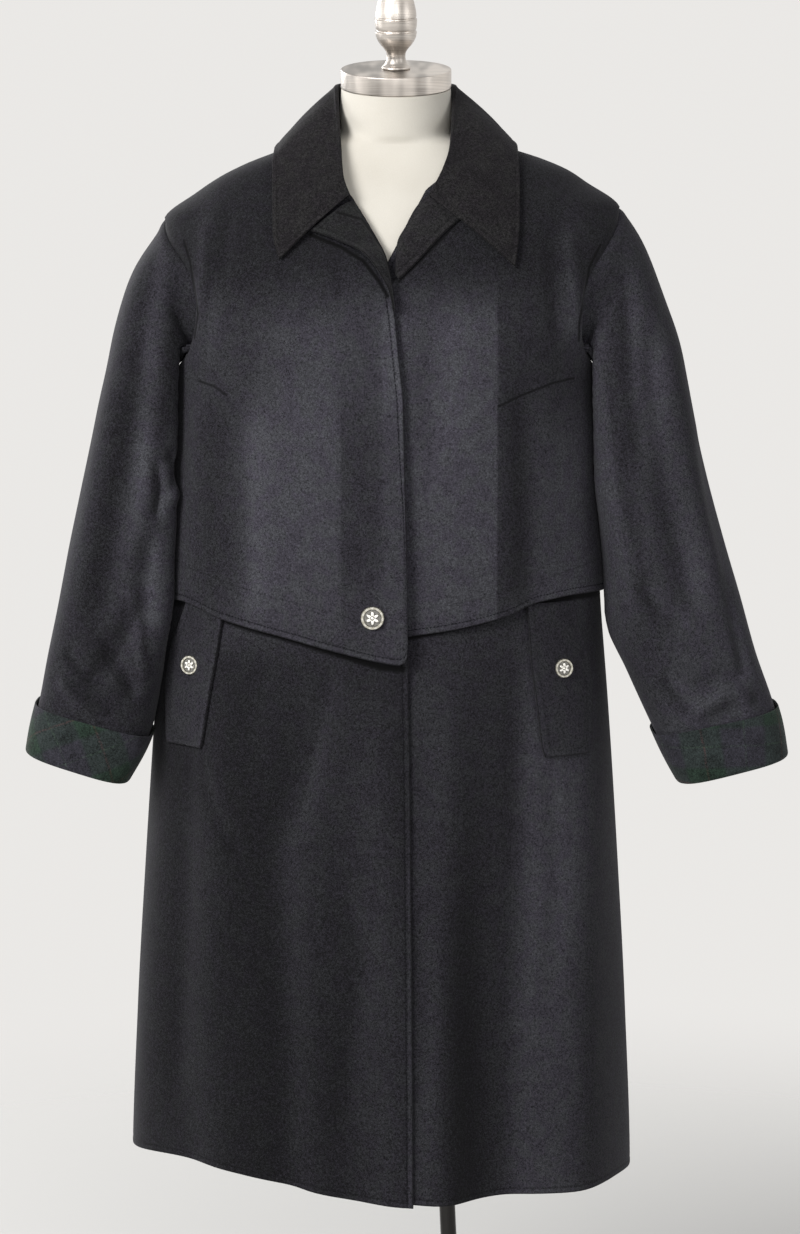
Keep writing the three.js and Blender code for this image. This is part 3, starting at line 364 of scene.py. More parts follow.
# Creases: a line of places across and up, width, depth outwards. A pair of widths makes a
# pressed ridge, as over the edge of a facing. The last value is 1 in front and -1 behind.
CREASES = [
    (((-58, 1306), (-58, 975)), (86, 40), 5.0, 1), (((95, 1302), (96, 985)), (66, 60), 5.0, 1),
    (((-190, 1215), (-193, 1189), (-200, 960)), 13, 4.0, 1), (((-158, 1215), (-153, 960)), 19, -4.6, 1),
    (((-187, 1392), (-192, 1307), (-203, 1225)), 7, 3.4, 1), (((-170, 1392), (-176, 1300)), 8, -2.2, 1),
    (((166, 1372), (172, 1310), (181, 1240)), 7, 3.4, 1), (((150, 1366), (156, 1240)), 9, -2.4, 1),
    (((122, 1230), (124, 960)), 15, -3.4, 1), (((192, 1200), (186, 1100), (190, 950)), 26, 4.4, 1),
    (((-110, 1300), (-104, 1150)), 24, 2.2, 1),
    (((40, 1300), (34, 1120)), 20, -2.2, 1),
    (((-172, 990), (-178, 760), (-186, 590), (-178, 200)), 24, 6.5, 1),
    (((-80, 960), (-96, 850), (-126, 740), (-118, 560), (-112, 200)), 24, -8.5, 1),
    (((-62, 945), (-84, 850), (-104, 760)), 9, -1.6, 1),
    (((-20, 950), (-14, 820), (-6, 640), (-8, 200)), 24, 5.5, 1),
    (((-64, 720), (-34, 640), (-52, 510), (-56, 430)), 13, -2.6, 1),
    (((-100, 742), (-50, 748), (-6, 751)), 6, -1.8, 1),
    (((-200, 822), (-177, 764), (-156, 720)), 8, -2.8, 1),
    (((50, 960), (54, 760), (46, 560), (42, 200)), 22, 3.2, 1),
    (((120, 985), (122, 760), (116, 560), (112, 200)), 20, -4.5, 1),
    (((184, 985), (188, 760), (180, 560), (176, 200)), 25, 6.0, 1),
    (((150, 845), (158, 700), (150, 560)), 9, -1.8, 1), (((20, 700), (26, 560), (16, 440)), 10, -1.4, 1),
    (((-214, 900), (-222, 640), (-232, 430)), 14, -4.0, 1),
    (((-120, 1300), (-140, 1120), (-128, 990)), 26, -5.0, -1),
    (((30, 1280), (16, 1120), (24, 960)), 30, 5.4, -1),
    (((130, 1290), (150, 1150), (140, 1000)), 24, -4.6, -1),
    (((-60, 1250), (-44, 1090), (-58, 930)), 22, 4.2, -1),
    (((-190, 1240), (-176, 1150), (-186, 1060)), 13, -3.8, -1),
    (((180, 1235), (166, 1140), (176, 1050)), 13, -3.6, -1),
    (((90, 960), (104, 700), (98, 200)), 22, 5.5, -1),
    (((-100, 960), (-112, 660), (-104, 200)), 24, -6.0, -1),
    (((-30, 900), (-20, 600), (-34, 200)), 20, -4.6, -1),
    (((-70, 860), (-40, 800), (10, 786)), 8, -2.4, -1),
    (((150, 820), (128, 760), (120, 690)), 9, -2.4, -1)]


def curve_through(places, values):
    """A smooth curve through a table's rows that never overshoots."""
    step = np.diff(places)
    slope = np.diff(values) / step
    tangent = np.zeros(len(values))
    same = slope[:-1] * slope[1:] > 0
    tangent[1:-1][same] = (2 * slope[:-1] * slope[1:])[same] / (slope[:-1] + slope[1:])[same]

    def at(value):
        value = np.clip(value, places[0], places[-1])
        i = np.clip(np.searchsorted(places, value, side="right") - 1, 0, len(step) - 1)
        t = (value - places[i]) / step[i]
        rise = values[i + 1] - values[i]
        m0, m1 = tangent[i] * step[i], tangent[i + 1] * step[i]
        return values[i] + t * (m0 + t * (3 * rise - 2 * m0 - m1 + t * (m0 + m1 - 2 * rise)))

    return at


def eased(start, end, value):
    t = np.clip((value - start) / (end - start), 0, 1)
    return t * t * (3 - 2 * t)


def beside_line(x, z, places):
    """How far points lie from a line of places, to which side, and how far along it."""
    places = np.array(places, float)
    lengths = np.hypot(*np.diff(places, axis=0).T)
    starts = np.concatenate([[0], np.cumsum(lengths)])
    best = np.full(np.shape(x), 1e9)
    side, share = np.zeros(np.shape(x)), np.zeros(np.shape(x))
    for a, b, start, length in zip(places, places[1:], starts, lengths):
        d = (b - a) / length
        t = np.clip((x - a[0]) * d[0] + (z - a[1]) * d[1], 0, length)
        gap = np.hypot(x - a[0] - t * d[0], z - a[1] - t * d[1])
        near = gap < best
        best = np.where(near, gap, best)
        side = np.where(near, np.sign((x - a[0]) * -d[1] + (z - a[1]) * d[0]), side)
        share = np.where(near, (start + t) / starts[-1], share)
    return best, side, share


def crease_depth(x, z, facing, creases):
    total = np.zeros(np.shape(x))
    for places, width, depth, where in creases:
        gap, side, share = beside_line(x, z, places)
        fade = eased(0, 0.22, share) * eased(1, 0.8, share)
        if isinstance(width, tuple):
            reach = np.where(side < 0, width[0], width[1])
            shape = np.clip(1 - np.hypot(gap, 2.5) / reach, 0, 1)
        else:
            shape = np.exp(-((gap / width) ** 2))
        total += depth * shape * fade * eased(0, 0.35, facing * where)
    return total


section_at = [curve_through(SECTIONS[:, 0], SECTIONS[:, k]) for k in range(1, 6)]


def radius_of(turn, half, front, back, square):
    sin, cos = np.sin(np.radians(turn)), np.cos(np.radians(turn))
    depth = np.where(cos > 0, front, back)
    return ((np.abs(sin) / half) ** square + (np.abs(cos) / depth) ** square) ** (-1 / square)


def body_face(turn, z, creased=True, folds=FOLDS):
    mid, half, front, back, square = (at(z) for at in section_at)
    radius = radius_of(turn, half, front, back, square)
    for place, width, depth, start, full in folds:
        gap = (turn - place + 180) % 360 - 180
        radius = radius + depth * eased(start, full, z) * np.exp(-((gap / width) ** 2))
    sin, cos = np.sin(np.radians(turn)), np.cos(np.radians(turn))
    if creased:
        radius = radius + crease_depth(mid + radius * sin, z, cos, CREASES)
    return np.stack([mid + radius * sin, -radius * cos, z + 0 * turn], -1)


def body_normal(turn, z, creased=True, folds=FOLDS):
    across = body_face(turn + 0.4, z, creased, folds) - body_face(turn - 0.4, z, creased, folds)
    up = body_face(turn, z + 1.0, creased, folds) - body_face(turn, z - 1.0, creased, folds)
    normal = np.cross(across, up)
    return normal / np.linalg.norm(normal, axis=-1, keepdims=True)


def body_lean(turn, z):
    """How much further than plain cloth the folded cloth turns to the wearer's left."""
    return body_normal(turn, z)[..., 0] - body_normal(turn, z, False, ())[..., 0]


def on_body(turn, z, lift, creased=True):
    lift = np.asarray(lift, float) + 0 * turn
    return body_face(turn, z, creased) + body_normal(turn, z, creased) * lift[..., None]


def front_turn(x, z):
    mid, half, front, _, square = (at(z) for at in section_at)
    across = np.clip((x - mid) / half, -0.999, 0.999)
    y = front * (1 - np.abs(across) ** square) ** (1 / square)
    return np.degrees(np.arctan2(across * half, y))


# The torso: a hard moulded shell with an ivory jersey cover pulled tight over it, limbless,
# its neck tipped forward. The coat hangs from its shoulders.
TORSO = np.array([
    (800, 28, 170, 122, 116, 2.2), (810, 28, 178, 130, 123, 2.2), (880, 24, 180, 134, 126, 2.2),
    (980, 18, 168, 124, 112, 2.2), (1075, 12, 152, 112, 98, 2.2), (1150, 6, 166, 128, 108, 2.2),
    (1212, 0, 178, 142, 118, 2.3), (1275, -5, 190, 134, 118, 2.4), (1342, -8, 197, 112, 110, 2.4),
    (1377, -8, 197, 92, 99, 2.4)], float)
TORSO_INSET = 4.2
NECK = [(1452, -1, 58.5, 2), (1474, -6, 57.2, 7), (1498, -12, 55.4, 11.7)]
NECK_X, NECK_TIP, NECK_COLUMNS = -4, 11.7, 96

torso_at = [curve_through(TORSO[:, 0], TORSO[:, k]) for k in range(1, 6)]


def torso_ring(z):
    turn = np.arange(NECK_COLUMNS) * 360 / NECK_COLUMNS
    z = np.full(NECK_COLUMNS, float(z))
    mid, half, front, back, square = (at(z) for at in torso_at)
    coat_mid, *coat = (at(z) for at in section_at)
    normal = body_normal(turn, z, False)
    limit = radius_of(turn, *coat) - TORSO_INSET / np.hypot(normal[:, 0], normal[:, 1])
    own = radius_of(turn, half, front, back, square)
    high = eased(1150, 1280, z)
    radius = own + (np.minimum(own, limit) - own) * high
    middle = mid + (coat_mid - mid) * high
    angle = np.radians(turn)
    return np.stack([middle + radius * np.sin(angle), -radius * np.cos(angle), z], -1)


def neck_ring(z, y, radius, tip):
    angle = np.radians(np.arange(NECK_COLUMNS) * 360 / NECK_COLUMNS)
    forward = -radius * np.cos(angle)
    rise = forward * math.tan(math.radians(tip))
    return np.stack([NECK_X + radius * np.sin(angle), y + forward, z + rise], -1)


def along_rings(rings, steps):
    """A smooth run of rings through the given ones, ends included."""
    rings = np.asarray(rings)
    padded = np.concatenate([[2 * rings[0] - rings[1]], rings, [2 * rings[-1] - rings[-2]]])
    out = []
    for at in steps:
        k = min(int(at), len(rings) - 2)
        t = at - k
        a, b, c, d = padded[k], padded[k + 1], padded[k + 2], padded[k + 3]
        out.append(0.5 * (2 * b + (c - a) * t + (2 * a - 5 * b + 4 * c - d) * t ** 2
                          + (3 * b - a - 3 * c + d) * t ** 3))
    return np.array(out)


def lidded(name, rings, finish):
    """A closed piece from stacked rings with a flat lid at each end."""
    rings = np.asarray(rings)
    rows, columns = rings.shape[:2]
    points = np.concatenate([rings.reshape(-1, 3), [rings[0].mean(0)], [rings[-1].mean(0)]])
    faces = []
    for c in range(columns):
        d = (c + 1) % columns
        for r in range(rows - 1):
            low, high = r * columns, (r + 1) * columns
            faces.append((low + c, low + d, high + d, high + c))
        faces.append((rows * columns, d, c))
        faces.append((rows * columns + 1, (rows - 1) * columns + c, (rows - 1) * columns + d))
    piece = piece_of(name, points, faces, finish)
    piece.data.set_sharp_from_angle(angle=math.radians(40))
    return piece


def jersey():
    finish = Finish("ivory_jersey", Roughness=0.85, Sheen_Weight=0.15)
    place = finish.place()
    knit = finish.noise(finish.node("ShaderNodeMapping", {}, {
        "Vector": place, "Scale": (1, 1, 0.4)}), 1400, 2)
    cloud = finish.noise(place, 16, 3)
    finish.feed("Base Color", finish.node("ShaderNodeValToRGB", {"stops": [
        (0.25, (0.70, 0.655, 0.57)), (0.75, (0.80, 0.76, 0.68))]}, {0: cloud * 0.6 + knit * 0.4}))
    finish.raised(knit, 0.0003, 0.35)
    return finish.material


body_levels = [800, 802, 806, *np.arange(812, 1436, 8), 1440]
low_part = [torso_ring(z) for z in body_levels]
neck_part = along_rings([torso_ring(1428), torso_ring(1440), *(neck_ring(*row) for row in NECK)],
                        np.arange(1, 4.001, 0.125))
torso = lidded("torso", low_part + list(neck_part[1:]), jersey())
stands_for(torso, "form_torso")

# The neck's end: a spun cap with a brushed flat top, and a turned finial screwed on it, urn
# shaped with two rings, its waist just over the cap.
CAP_RADIUS, CAP_HEIGHT = 56, 19


def tipped(points):
    """Stands a turned piece on the tipped end of the neck."""
    tip = math.radians(NECK_TIP)
    _, y, z = points.T
    return np.stack([points[:, 0] + NECK_X, y * math.cos(tip) - z * math.sin(tip) - 12,
                     y * math.sin(tip) + z * math.cos(tip) + 1498], -1)


cap_metal = brushed_metal("cap_metal", (0.80, 0.74, 0.68), 0.34, True, 0.55)
cap = turned("neck_cap", rounded([
    (0, 0.3), (CAP_RADIUS, 0.3), (CAP_RADIUS, CAP_HEIGHT), (0, CAP_HEIGHT)], 1.4, 5),
    cap_metal, tipped)
stands_for(cap, "form_neck_cap")

FINIAL = [
    (0, 0), (14.2, 0), (14.6, 1.2), (14.2, 2.6), (11.6, 4.6), (10.1, 7.5), (9.5, 11), (9.6, 15),
    (10.4, 17.5), (12.4, 20.5), (15.6, 24), (18.4, 28), (20.2, 32), (20.9, 36), (20.9, 37.6),
    (19.9, 38.3), (19.7, 39.2), (20.5, 40.2), (20.9, 43.5), (21.2, 47), (21.2, 50), (20.2, 50.8),
    (20.0, 51.7), (20.6, 52.6), (20.4, 56), (19.6, 61), (18.3, 66.5), (16.4, 72), (13.6, 78),
    (10.4, 82.4), (7, 85.2), (3.6, 86.6), (0, 87)]
finial = turned("finial", [(r, h + CAP_HEIGHT + 0.3) for r, h in FINIAL], cap_metal, tipped, 72)
stands_for(finial, "form_finial")

# The body: two fronts and one back of charcoal boiled wool, 2 mm thick, sewn at the sides and
# shoulders. The right front laps over the left one and both edges are turned and stitched.
CLOTH, LAYER, STITCH_IN = 2.2, 3.6, 6.2
NECKLINE, ARM_TOP, ARM_BOTTOM = 1446, 1377, 1212
# How far in degrees the armhole cuts round the body, how much more at its foot than at its
# top, and how far the body's cloth reaches under the sleeve there.
ARM_REACH, ARM_SKEW, TUCK = 25, 0.35, 0.8
HEM, HEM_RISE, HEM_DIP = 386, 29, 7
EDGE_STEPS = np.array([0, 0.5, 1.2, 2.4, 4.2, 6.0, 7.2, 9, 12])
SEAM_STEPS = np.array([0, 0.8, 2, 4])
RIGHT_EDGE = [(360, 12), (943, 8), (1191, 3), (1269, -5), (1327, -13), (1388, -47), (1404, -62),
              (1452, -70)]
LEFT_EDGE = [(360, -45), (1262, -45), (1327, -11), (1396, 26), (1410, 44), (1452, 62)]


def wool(name, tone=1.0, patches=(), lines=(), tint=(1, 1, 1), edges=1.0):
    """Felted wool: short fibres at all angles over a faint mottle. Its tone sets the overall level, which on
    several pieces is painted light or painted shade.
    A patch is painted light or painted shade, lighter or darker by its amount, from x to x and level to
    level, soft at its left, right and ends;
    a line is drawn darker with its width and strength and sunk a little in the bump: painted shade along
    sewn grooves and painted shadow under lifted edges."""
    finish = Finish(name, Sheen_Weight=0.06, Sheen_Roughness=0.5, Specular_IOR_Level=0.15)
    finish.shader.inputs["Sheen Tint"].default_value = (0.8, 0.8, 0.85, 1)
    place = finish.place()
    fibre = finish.noise(place, 430, 3, 0.7)
    fleck = finish.noise(place, 1150, 2, 0.6)
    cloud = finish.noise(place, 60, 3, 0.6)
    drift = finish.noise(place, 8, 2, 0.5)
    grain = (fibre - 0.5) * 3.6 + (fleck - 0.5) * 4.6
    # Painted shade on the folds: the cloth is darker where its folds turn it to the wearer's left, away from
    # the key light, and lighter where they turn it to the right.
    light = (tone + (cloud - 0.5) * 0.8 + (drift - 0.5) * 0.3) * (1 - finish.own("lay") * 1.3)
    # Painted shade at the outermost mm of a free edge and along its stitching, and a painted highlight on
    # the rolled ridge between them (raised); edges scales the stitching shade and the highlight.
    gap = finish.own("gap")
    stitched = (gap - STITCH_IN).maths("ABSOLUTE").eased(1.5, 0.4)
    raised = (gap - 3.2).maths("ABSOLUTE").eased(2.3, 0.7)
    light = light * (1 - gap.eased(1.5, 0.3) * 0.6 - stitched * (0.35 * edges) + raised * (0.2 * edges))
    groove = None
    if patches or lines:
        x, _, z = (finish.node("ShaderNodeSeparateXYZ", {}, {0: place}, k) for k in range(3))
        x, z = x * 1000 + FOOT_X, z * 1000
    # Patches: painted light and painted shade.
    for left, right, low, high, (soft_left, soft_right, soft_ends), amount in patches:
        inside = x.eased(left - soft_left, left + soft_left)
        inside = inside * x.eased(right + soft_right, right - soft_right)
        inside = inside * z.eased(low - soft_ends, low + soft_ends)
        inside = inside * z.eased(high + soft_ends, high - soft_ends)
        light = light * (1 + inside * amount)
    # Lines: painted shade along sewn grooves and painted shadow under lifted edges, also sunk a little in
    # the bump.
    for places, width, strength in lines:
        for (ax, az), (bx, bz) in zip(places, places[1:]):
            dx, dz = bx - ax, bz - az
            along = (((x - ax) * dx + (z - az) * dz) / (dx * dx + dz * dz)).most(0).least(1)
            off = ((x - ax - along * dx) ** 2 + (z - az - along * dz) ** 2) ** 0.5
            mark = off.eased(width, width * 0.2) * strength
            groove = mark if groove is None else groove.most(mark)
    height = fibre * 0.6 + fleck * 0.4
    light = (light + grain * (light * 0.5 + 0.42)).most(0.1)
    if groove is not None:
        light = light * (1 - groove)
        height = height - groove * 1.6
    bluish, greenish = (0.0232, 0.0216, 0.0275), (0.0224, 0.0224, 0.0256)
    hue = finish.mixed(cloud.eased(0.42, 0.58), *(
        (*(a * b for a, b in zip(shade, tint)), 1) for shade in (bluish, greenish)))
    finish.feed("Base Color", finish.scaled(hue, light))
    finish.feed("Roughness", 0.84 + fibre * 0.14)
    finish.raised(height, 0.0007, 0.55)
    return finish.material


def cloth_piece(name, outer, inner, finish, uv, gap, lay):
    """A cloth with a wall: two grids of points, closed round with a rounded edge. Its points
    carry how far the free edge is (gap, in mm) and how much its folds turn it to one side (lay), which the
    finish turns into painted shade and light."""
    rows, columns = outer.shape[:2]
    count = rows * columns
    index = np.arange(count).reshape(rows, columns)
    a, b = index[:-1, :-1].ravel(), index[:-1, 1:].ravel()
    c, d = index[1:, 1:].ravel(), index[1:, :-1].ravel()
    border = np.concatenate([index[0, :-1], index[:-1, -1], index[-1, :0:-1], index[:0:-1, 0]])
    following = np.roll(border, -1)
    rim = 2 * count + np.arange(len(border))
    rim_following = np.roll(rim, -1)
    faces = np.concatenate([
        np.stack([a, b, c, d], -1),
        np.stack([a, d, c, b], -1) + count,
        np.stack([following, border, rim, rim_following], -1),
        np.stack([rim_following, rim, border + count, following + count], -1)])
    flat_outer, flat_inner = outer.reshape(-1, 3), inner.reshape(-1, 3)
    facing = np.cross(flat_outer[b] - flat_outer[a], flat_outer[c] - flat_outer[b])
    if (facing * (flat_outer[a] - flat_inner[a])).sum() < 0:
        faces = faces[:, ::-1]
    middle = (flat_outer[border] + flat_inner[border]) / 2
    uv = uv.reshape(-1, 2)
    all_uv = np.concatenate([uv, uv, uv[border]]) / 1000
    points = np.concatenate([flat_outer, flat_inner, middle])
    piece = piece_of(name, points, faces.tolist(), finish, all_uv[faces.ravel()])
    gap, lay = (np.broadcast_to(values, outer.shape[:2]).ravel() for values in (gap, lay))
    note(piece, "gap", np.concatenate([gap, gap, np.minimum(gap[border], 0)]))
    note(piece, "lay", np.concatenate([lay, lay, lay[border]]))
    return piece


def arm_reach(share):
    """How far round the armhole cuts into the body, from its foot (-1) to its top (1)."""
    return ARM_REACH * np.sqrt(np.maximum(1 - share * share, 0)) * (1 - ARM_SKEW * share)


def arm_turn(z):
    middle = (ARM_TOP + ARM_BOTTOM) / 2
    return arm_reach(np.clip((z - middle) / (ARM_TOP - middle), -1, 1))


def side_turn(z):
    return 90 - np.maximum(arm_turn(z) - TUCK, 0) - np.degrees(0.03 / section_at[1](z))


def edge_table(rows):
    places, values = np.array(rows, float).T
    return lambda z: front_turn(np.interp(z, places, values), z)


def panel(front, side, foot, skirt_rows, middle, front_steps=EDGE_STEPS):
    """A body panel as a grid: turn and level of each point, and how far in mm it lies from
    the front edge, from the side seam and from the hem."""
    arm = (ARM_TOP + ARM_BOTTOM) / 2 - (ARM_TOP - ARM_BOTTOM) / 2 * np.cos(np.linspace(0, np.pi, 45))
    upper = np.concatenate([arm, np.linspace(ARM_TOP, NECKLINE, 24)[1:]])
    rows = [("hem", h) for h in EDGE_STEPS]
    rows += [("skirt", t) for t in np.linspace(0, 1, skirt_rows + 1)[1:-1]]
    rows += [("level", z) for z in upper]
    dense = np.linspace(0, 1, 241)
    grid = []
    for kind, value in rows:
        share = dense
        for _ in range(2):
            low = foot(share)
            if kind == "hem":
                z = low + value
            elif kind == "skirt":
                z = low + EDGE_STEPS[-1] + (ARM_BOTTOM - low - EDGE_STEPS[-1]) * value
            else:
                z = np.full(len(dense), value)
            turn = front(z) + (side(z) - front(z)) * dense
            points = body_face(turn, z)
            run = np.concatenate([[0], np.cumsum(np.linalg.norm(np.diff(points, axis=0), axis=1))])
            share = run / run[-1]
        wide = run[-1]
        start, end = front_steps[-1], wide - SEAM_STEPS[-1]
        s = np.concatenate([front_steps, np.linspace(start, end, middle + 2)[1:-1],
                            wide - SEAM_STEPS[::-1]])
        grid.append(np.stack([
            np.interp(s, run, turn), np.interp(s, run, z), s, wide - s,
            np.interp(s, run, z - low)], -1))
    return np.moveaxis(np.array(grid), -1, 0)


def free_edge(gap):
    """A turned and stitched edge: a little thicker, a groove at the stitching, round outside."""
    return (0.35 * eased(7.5, 5.5, gap) - 0.45 * np.exp(-(((gap - STITCH_IN) / 1.1) ** 2))
            - 0.9 * np.clip(1 - gap / 1.4, 0, 1) ** 2)


def sewn_edge(gap):
    return -0.8 * np.exp(-gap / 1.3)


def lap_lift(turn, z):
    layers = 1 + eased(905, 940, z)
    x = body_face(turn, z, False)[..., 0]
    return LAYER * layers * eased(-118, -62, x) * eased(1343, 1323, z)


def hem_level(degrees):
    from_rise = (degrees + 230) % 360 - 180
    rise = HEM_RISE * np.exp(-((from_rise / 36) ** 2)) - HEM_DIP * np.exp(-(((degrees - 88) / 15) ** 2))
    return HEM + rise - 4 * np.sin(np.radians(degrees)) - 3 * np.cos(np.radians(2 * degrees + 40))


charcoal = wool("charcoal_wool")


def body_panel(name, node, grid, lift, finish):
    turn, z, from_front, from_side, from_hem = grid
    base = lift(turn, z) * eased(-4, 16, from_side)
    edge = np.minimum(from_front, from_hem)
    trim = free_edge(from_front) + sewn_edge(from_side) + np.minimum(free_edge(from_hem), 0.1)
    outer = on_body(turn, z, base + trim)
    thin = 0.55 * np.clip(1 - edge / 1.4, 0, 1) ** 2
    inner = on_body(turn, z, base - CLOTH + thin)
    piece = cloth_piece(name, outer, inner, finish, np.stack([from_front, z], -1),
                        edge, body_lean(turn, z))
    stands_for(piece, node)


# Painted shade on the right front's skirt, and the places of a line of painted shadow under each cape's hem.
skirt_shade = [(-300, -120, 300, 940, (1, 40, 20), -0.5), (-120, 8, 300, 940, (40, 1, 20), -0.34),
               (-170, -20, 300, 640, (40, 40, 160), -0.3)]
right_cape_hem_shadow = ((-262, 980), (-205, 981), (-161, 966), (-107, 953), (-64, 941), (-19, 927),
                    (2, 925))
left_cape_hem_shadow = ((-10, 954), (11, 956), (83, 971), (122, 985), (168, 989), (240, 988))
right_front = panel(edge_table(RIGHT_EDGE), lambda z: -side_turn(z),
                    lambda share: hem_level(8 - 98 * share), 110, 52)
body_panel("right_front_panel", "right_front", right_front, lap_lift,
           wool("charcoal_right_front", patches=skirt_shade, lines=[(right_cape_hem_shadow, 6, 0.9)]))
left_front = panel(edge_table(LEFT_EDGE), side_turn,
                   lambda share: hem_level(104 * share - 14) + 1.2 * (1 - share), 110, 56)
# The left front's patches paint light in a band on the skirt and shade beside and below it.
body_panel("left_front_panel", "left_front", left_front, lambda turn, z: 0 * z,
           wool("charcoal_left_front", patches=[
               (128, 196, 620, 1000, (22, 16, 200), 0.6), (60, 118, 330, 960, (20, 14, 60), -0.2),
               (-20, 260, 330, 700, (1, 1, 200), -0.14)], lines=[(left_cape_hem_shadow, 5, 0.92)]))
back = panel(lambda z: 180 - side_turn(z), lambda z: 180 + side_turn(z),
             lambda share: hem_level(90 + 180 * share), 110, 96, SEAM_STEPS)
turn, z, from_left, from_right, from_hem = back
back_trim = sewn_edge(np.minimum(from_left, from_right)) + np.minimum(free_edge(from_hem), 0.1)
back_piece = cloth_piece(
    "back_panel", on_body(turn, z, back_trim),
    on_body(turn, z, 0.55 * np.clip(1 - from_hem / 1.4, 0, 1) ** 2 - CLOTH),
    charcoal, np.stack([from_left, z], -1), from_hem, body_lean(turn, z))
stands_for(back_piece, "back")

# The capes: a second layer of the same wool over each front, caught in the shoulder, armhole
# and side seams, its hem free at the waist. A bust dart each, a line of painted shade; the right one has the
# button.
RIGHT_CAPE_EDGE = [(900, 8), (1191, 3), (1269, -5), (1295, -9), (1320, -21), (1343, -50),
                   (1361, -80), (1452, -76)]
LEFT_CAPE_EDGE = [(900, -45), (1262, -45), (1300, -10), (1335, 20), (1361, 46), (1452, 68)]
RIGHT_CAPE_HEM = np.array([
    (-262, 984), (-205, 985), (-161, 970), (-107, 957), (-64, 945), (-19, 931), (-8, 929),
    (-1, 931), (4, 936), (7, 944), (10, 956)], float)
LEFT_CAPE_HEM = np.array([
    (-50, 951), (11, 959), (83, 975), (122, 988), (168, 993), (230, 991)], float)
CAPE_FLARE, CAPE_HANG = 5, 250


def cape_foot(edge, hem, side):
    level = curve_through(hem[:, 0], hem[:, 1])
    start = front_turn(np.array(edge[0][1], float), np.array(hem[0, 1]))

    def foot(share):
        turn = start + (side * 90 - start) * share
        return level(body_face(turn, hem[0, 1] + 0 * turn, False)[..., 0])

    return foot


def cape_flare(z):
    return CAPE_FLARE * eased(ARM_BOTTOM, ARM_BOTTOM - CAPE_HANG, z)


def right_cape_lift(turn, z):
    return lap_lift(turn, z) + LAYER + cape_flare(z)


def left_cape_lift(turn, z):
    return LAYER + cape_flare(z) * eased(8, 58, body_face(turn, z, False)[..., 0])


right_cape = panel(edge_table(RIGHT_CAPE_EDGE), lambda z: -side_turn(z),
                   cape_foot(RIGHT_CAPE_EDGE, RIGHT_CAPE_HEM, -1), 52, 60)
# The right cape's patches paint light on its chest panels and on a strip by the armhole, and shade over the
# top of the chest; its lines paint shade along the bust dart and the armhole seam, a faint dark line above
# the hem, and the shadow under the revers' edge.
body_panel(
    "right_cape_panel", "right_cape", right_cape, right_cape_lift,
    wool("charcoal_right_cape", patches=[
        (-162, -58, 955, 1180, (22, 1.5, 40), 0.72), (-118, -58, 1180, 1292, (28, 1.5, 40), 0.6),
        (-58, 3, 1180, 1300, (1.5, 1, 40), 0.4), (-58, 3, 900, 1330, (1.5, 1, 20), 0.28),
        (-22, 10, 930, 1290, (12, 1, 20), 0.3), (-300, 100, 1288, 1460, (1, 1, 40), -0.52),
        (-205, -180, 1240, 1390, (10, 9, 30), 0.5)], lines=[
        (((-200, 1206), (-185, 1202), (-172, 1194)), 2.0, 0.7),
        (((-216, 1345), (-209, 1324), (-201, 1273), (-205, 1249)), 2.0, 0.8),
        (((-226, 1025), (-158, 1003), (-59, 980), (-14, 966)), 1.2, 0.22),
        (((-88, 1351), (-58, 1339), (-36, 1326), (-21, 1307), (-12, 1292)), 3.0, 0.9)], edges=0.8))
left_cape = panel(edge_table(LEFT_CAPE_EDGE), side_turn,
                  cape_foot(LEFT_CAPE_EDGE, LEFT_CAPE_HEM, 1), 52, 62)
# The left cape's patches paint light on its chest panel, on a band at its side and on a strip by the
# armhole, and shade over the top of the chest; its lines paint shade along the bust dart and the armhole
# seam, a faint dark line above the hem, and the shadow under the revers' edge.
body_panel(
    "left_cape_panel", "left_cape", left_cape, left_cape_lift,
    wool("charcoal_left_cape", patches=[
        (-40, 96, 960, 1292, (1, 1.5, 34), 0.9), (140, 205, 900, 1160, (16, 30, 60), 0.9),
        (-100, 300, 1296, 1460, (1, 1, 34), -0.48),
        (162, 186, 1235, 1375, (10, 9, 30), 0.6)], lines=[
        (((97, 1184), (120, 1194), (151, 1205), (173, 1209)), 2.0, 0.75),
        (((200, 1340), (188.5, 1319), (178.5, 1264), (178.5, 1246)), 2.0, 0.8),
        (((12, 982), (89, 996), (202, 1026)), 1.2, 0.22),
        (((-1, 1306), (14, 1320), (30, 1336), (45, 1351), (54, 1361)), 2.6, 0.75)], edges=0.35))

# The revers: the turned back upper corners of the fronts, small and narrow, pressed flat, with
# the facing outwards. Their fold is the coat's open edge.
RIGHT_REVERS = np.array([
    (-5, 1276, -6.2, 1275), (-7, 1292, -10.5, 1290), (-10, 1312, -21, 1308), (-16, 1333, -37, 1327),
    (-31, 1360, -58, 1340), (-46, 1384, -88, 1352)], float)
LEFT_REVERS = np.array([
    (-5, 1311, -1, 1306), (-3, 1341, 14, 1320), (6, 1359, 30, 1337), (16, 1377, 45, 1352),
    (38, 1397, 62, 1366)], float)


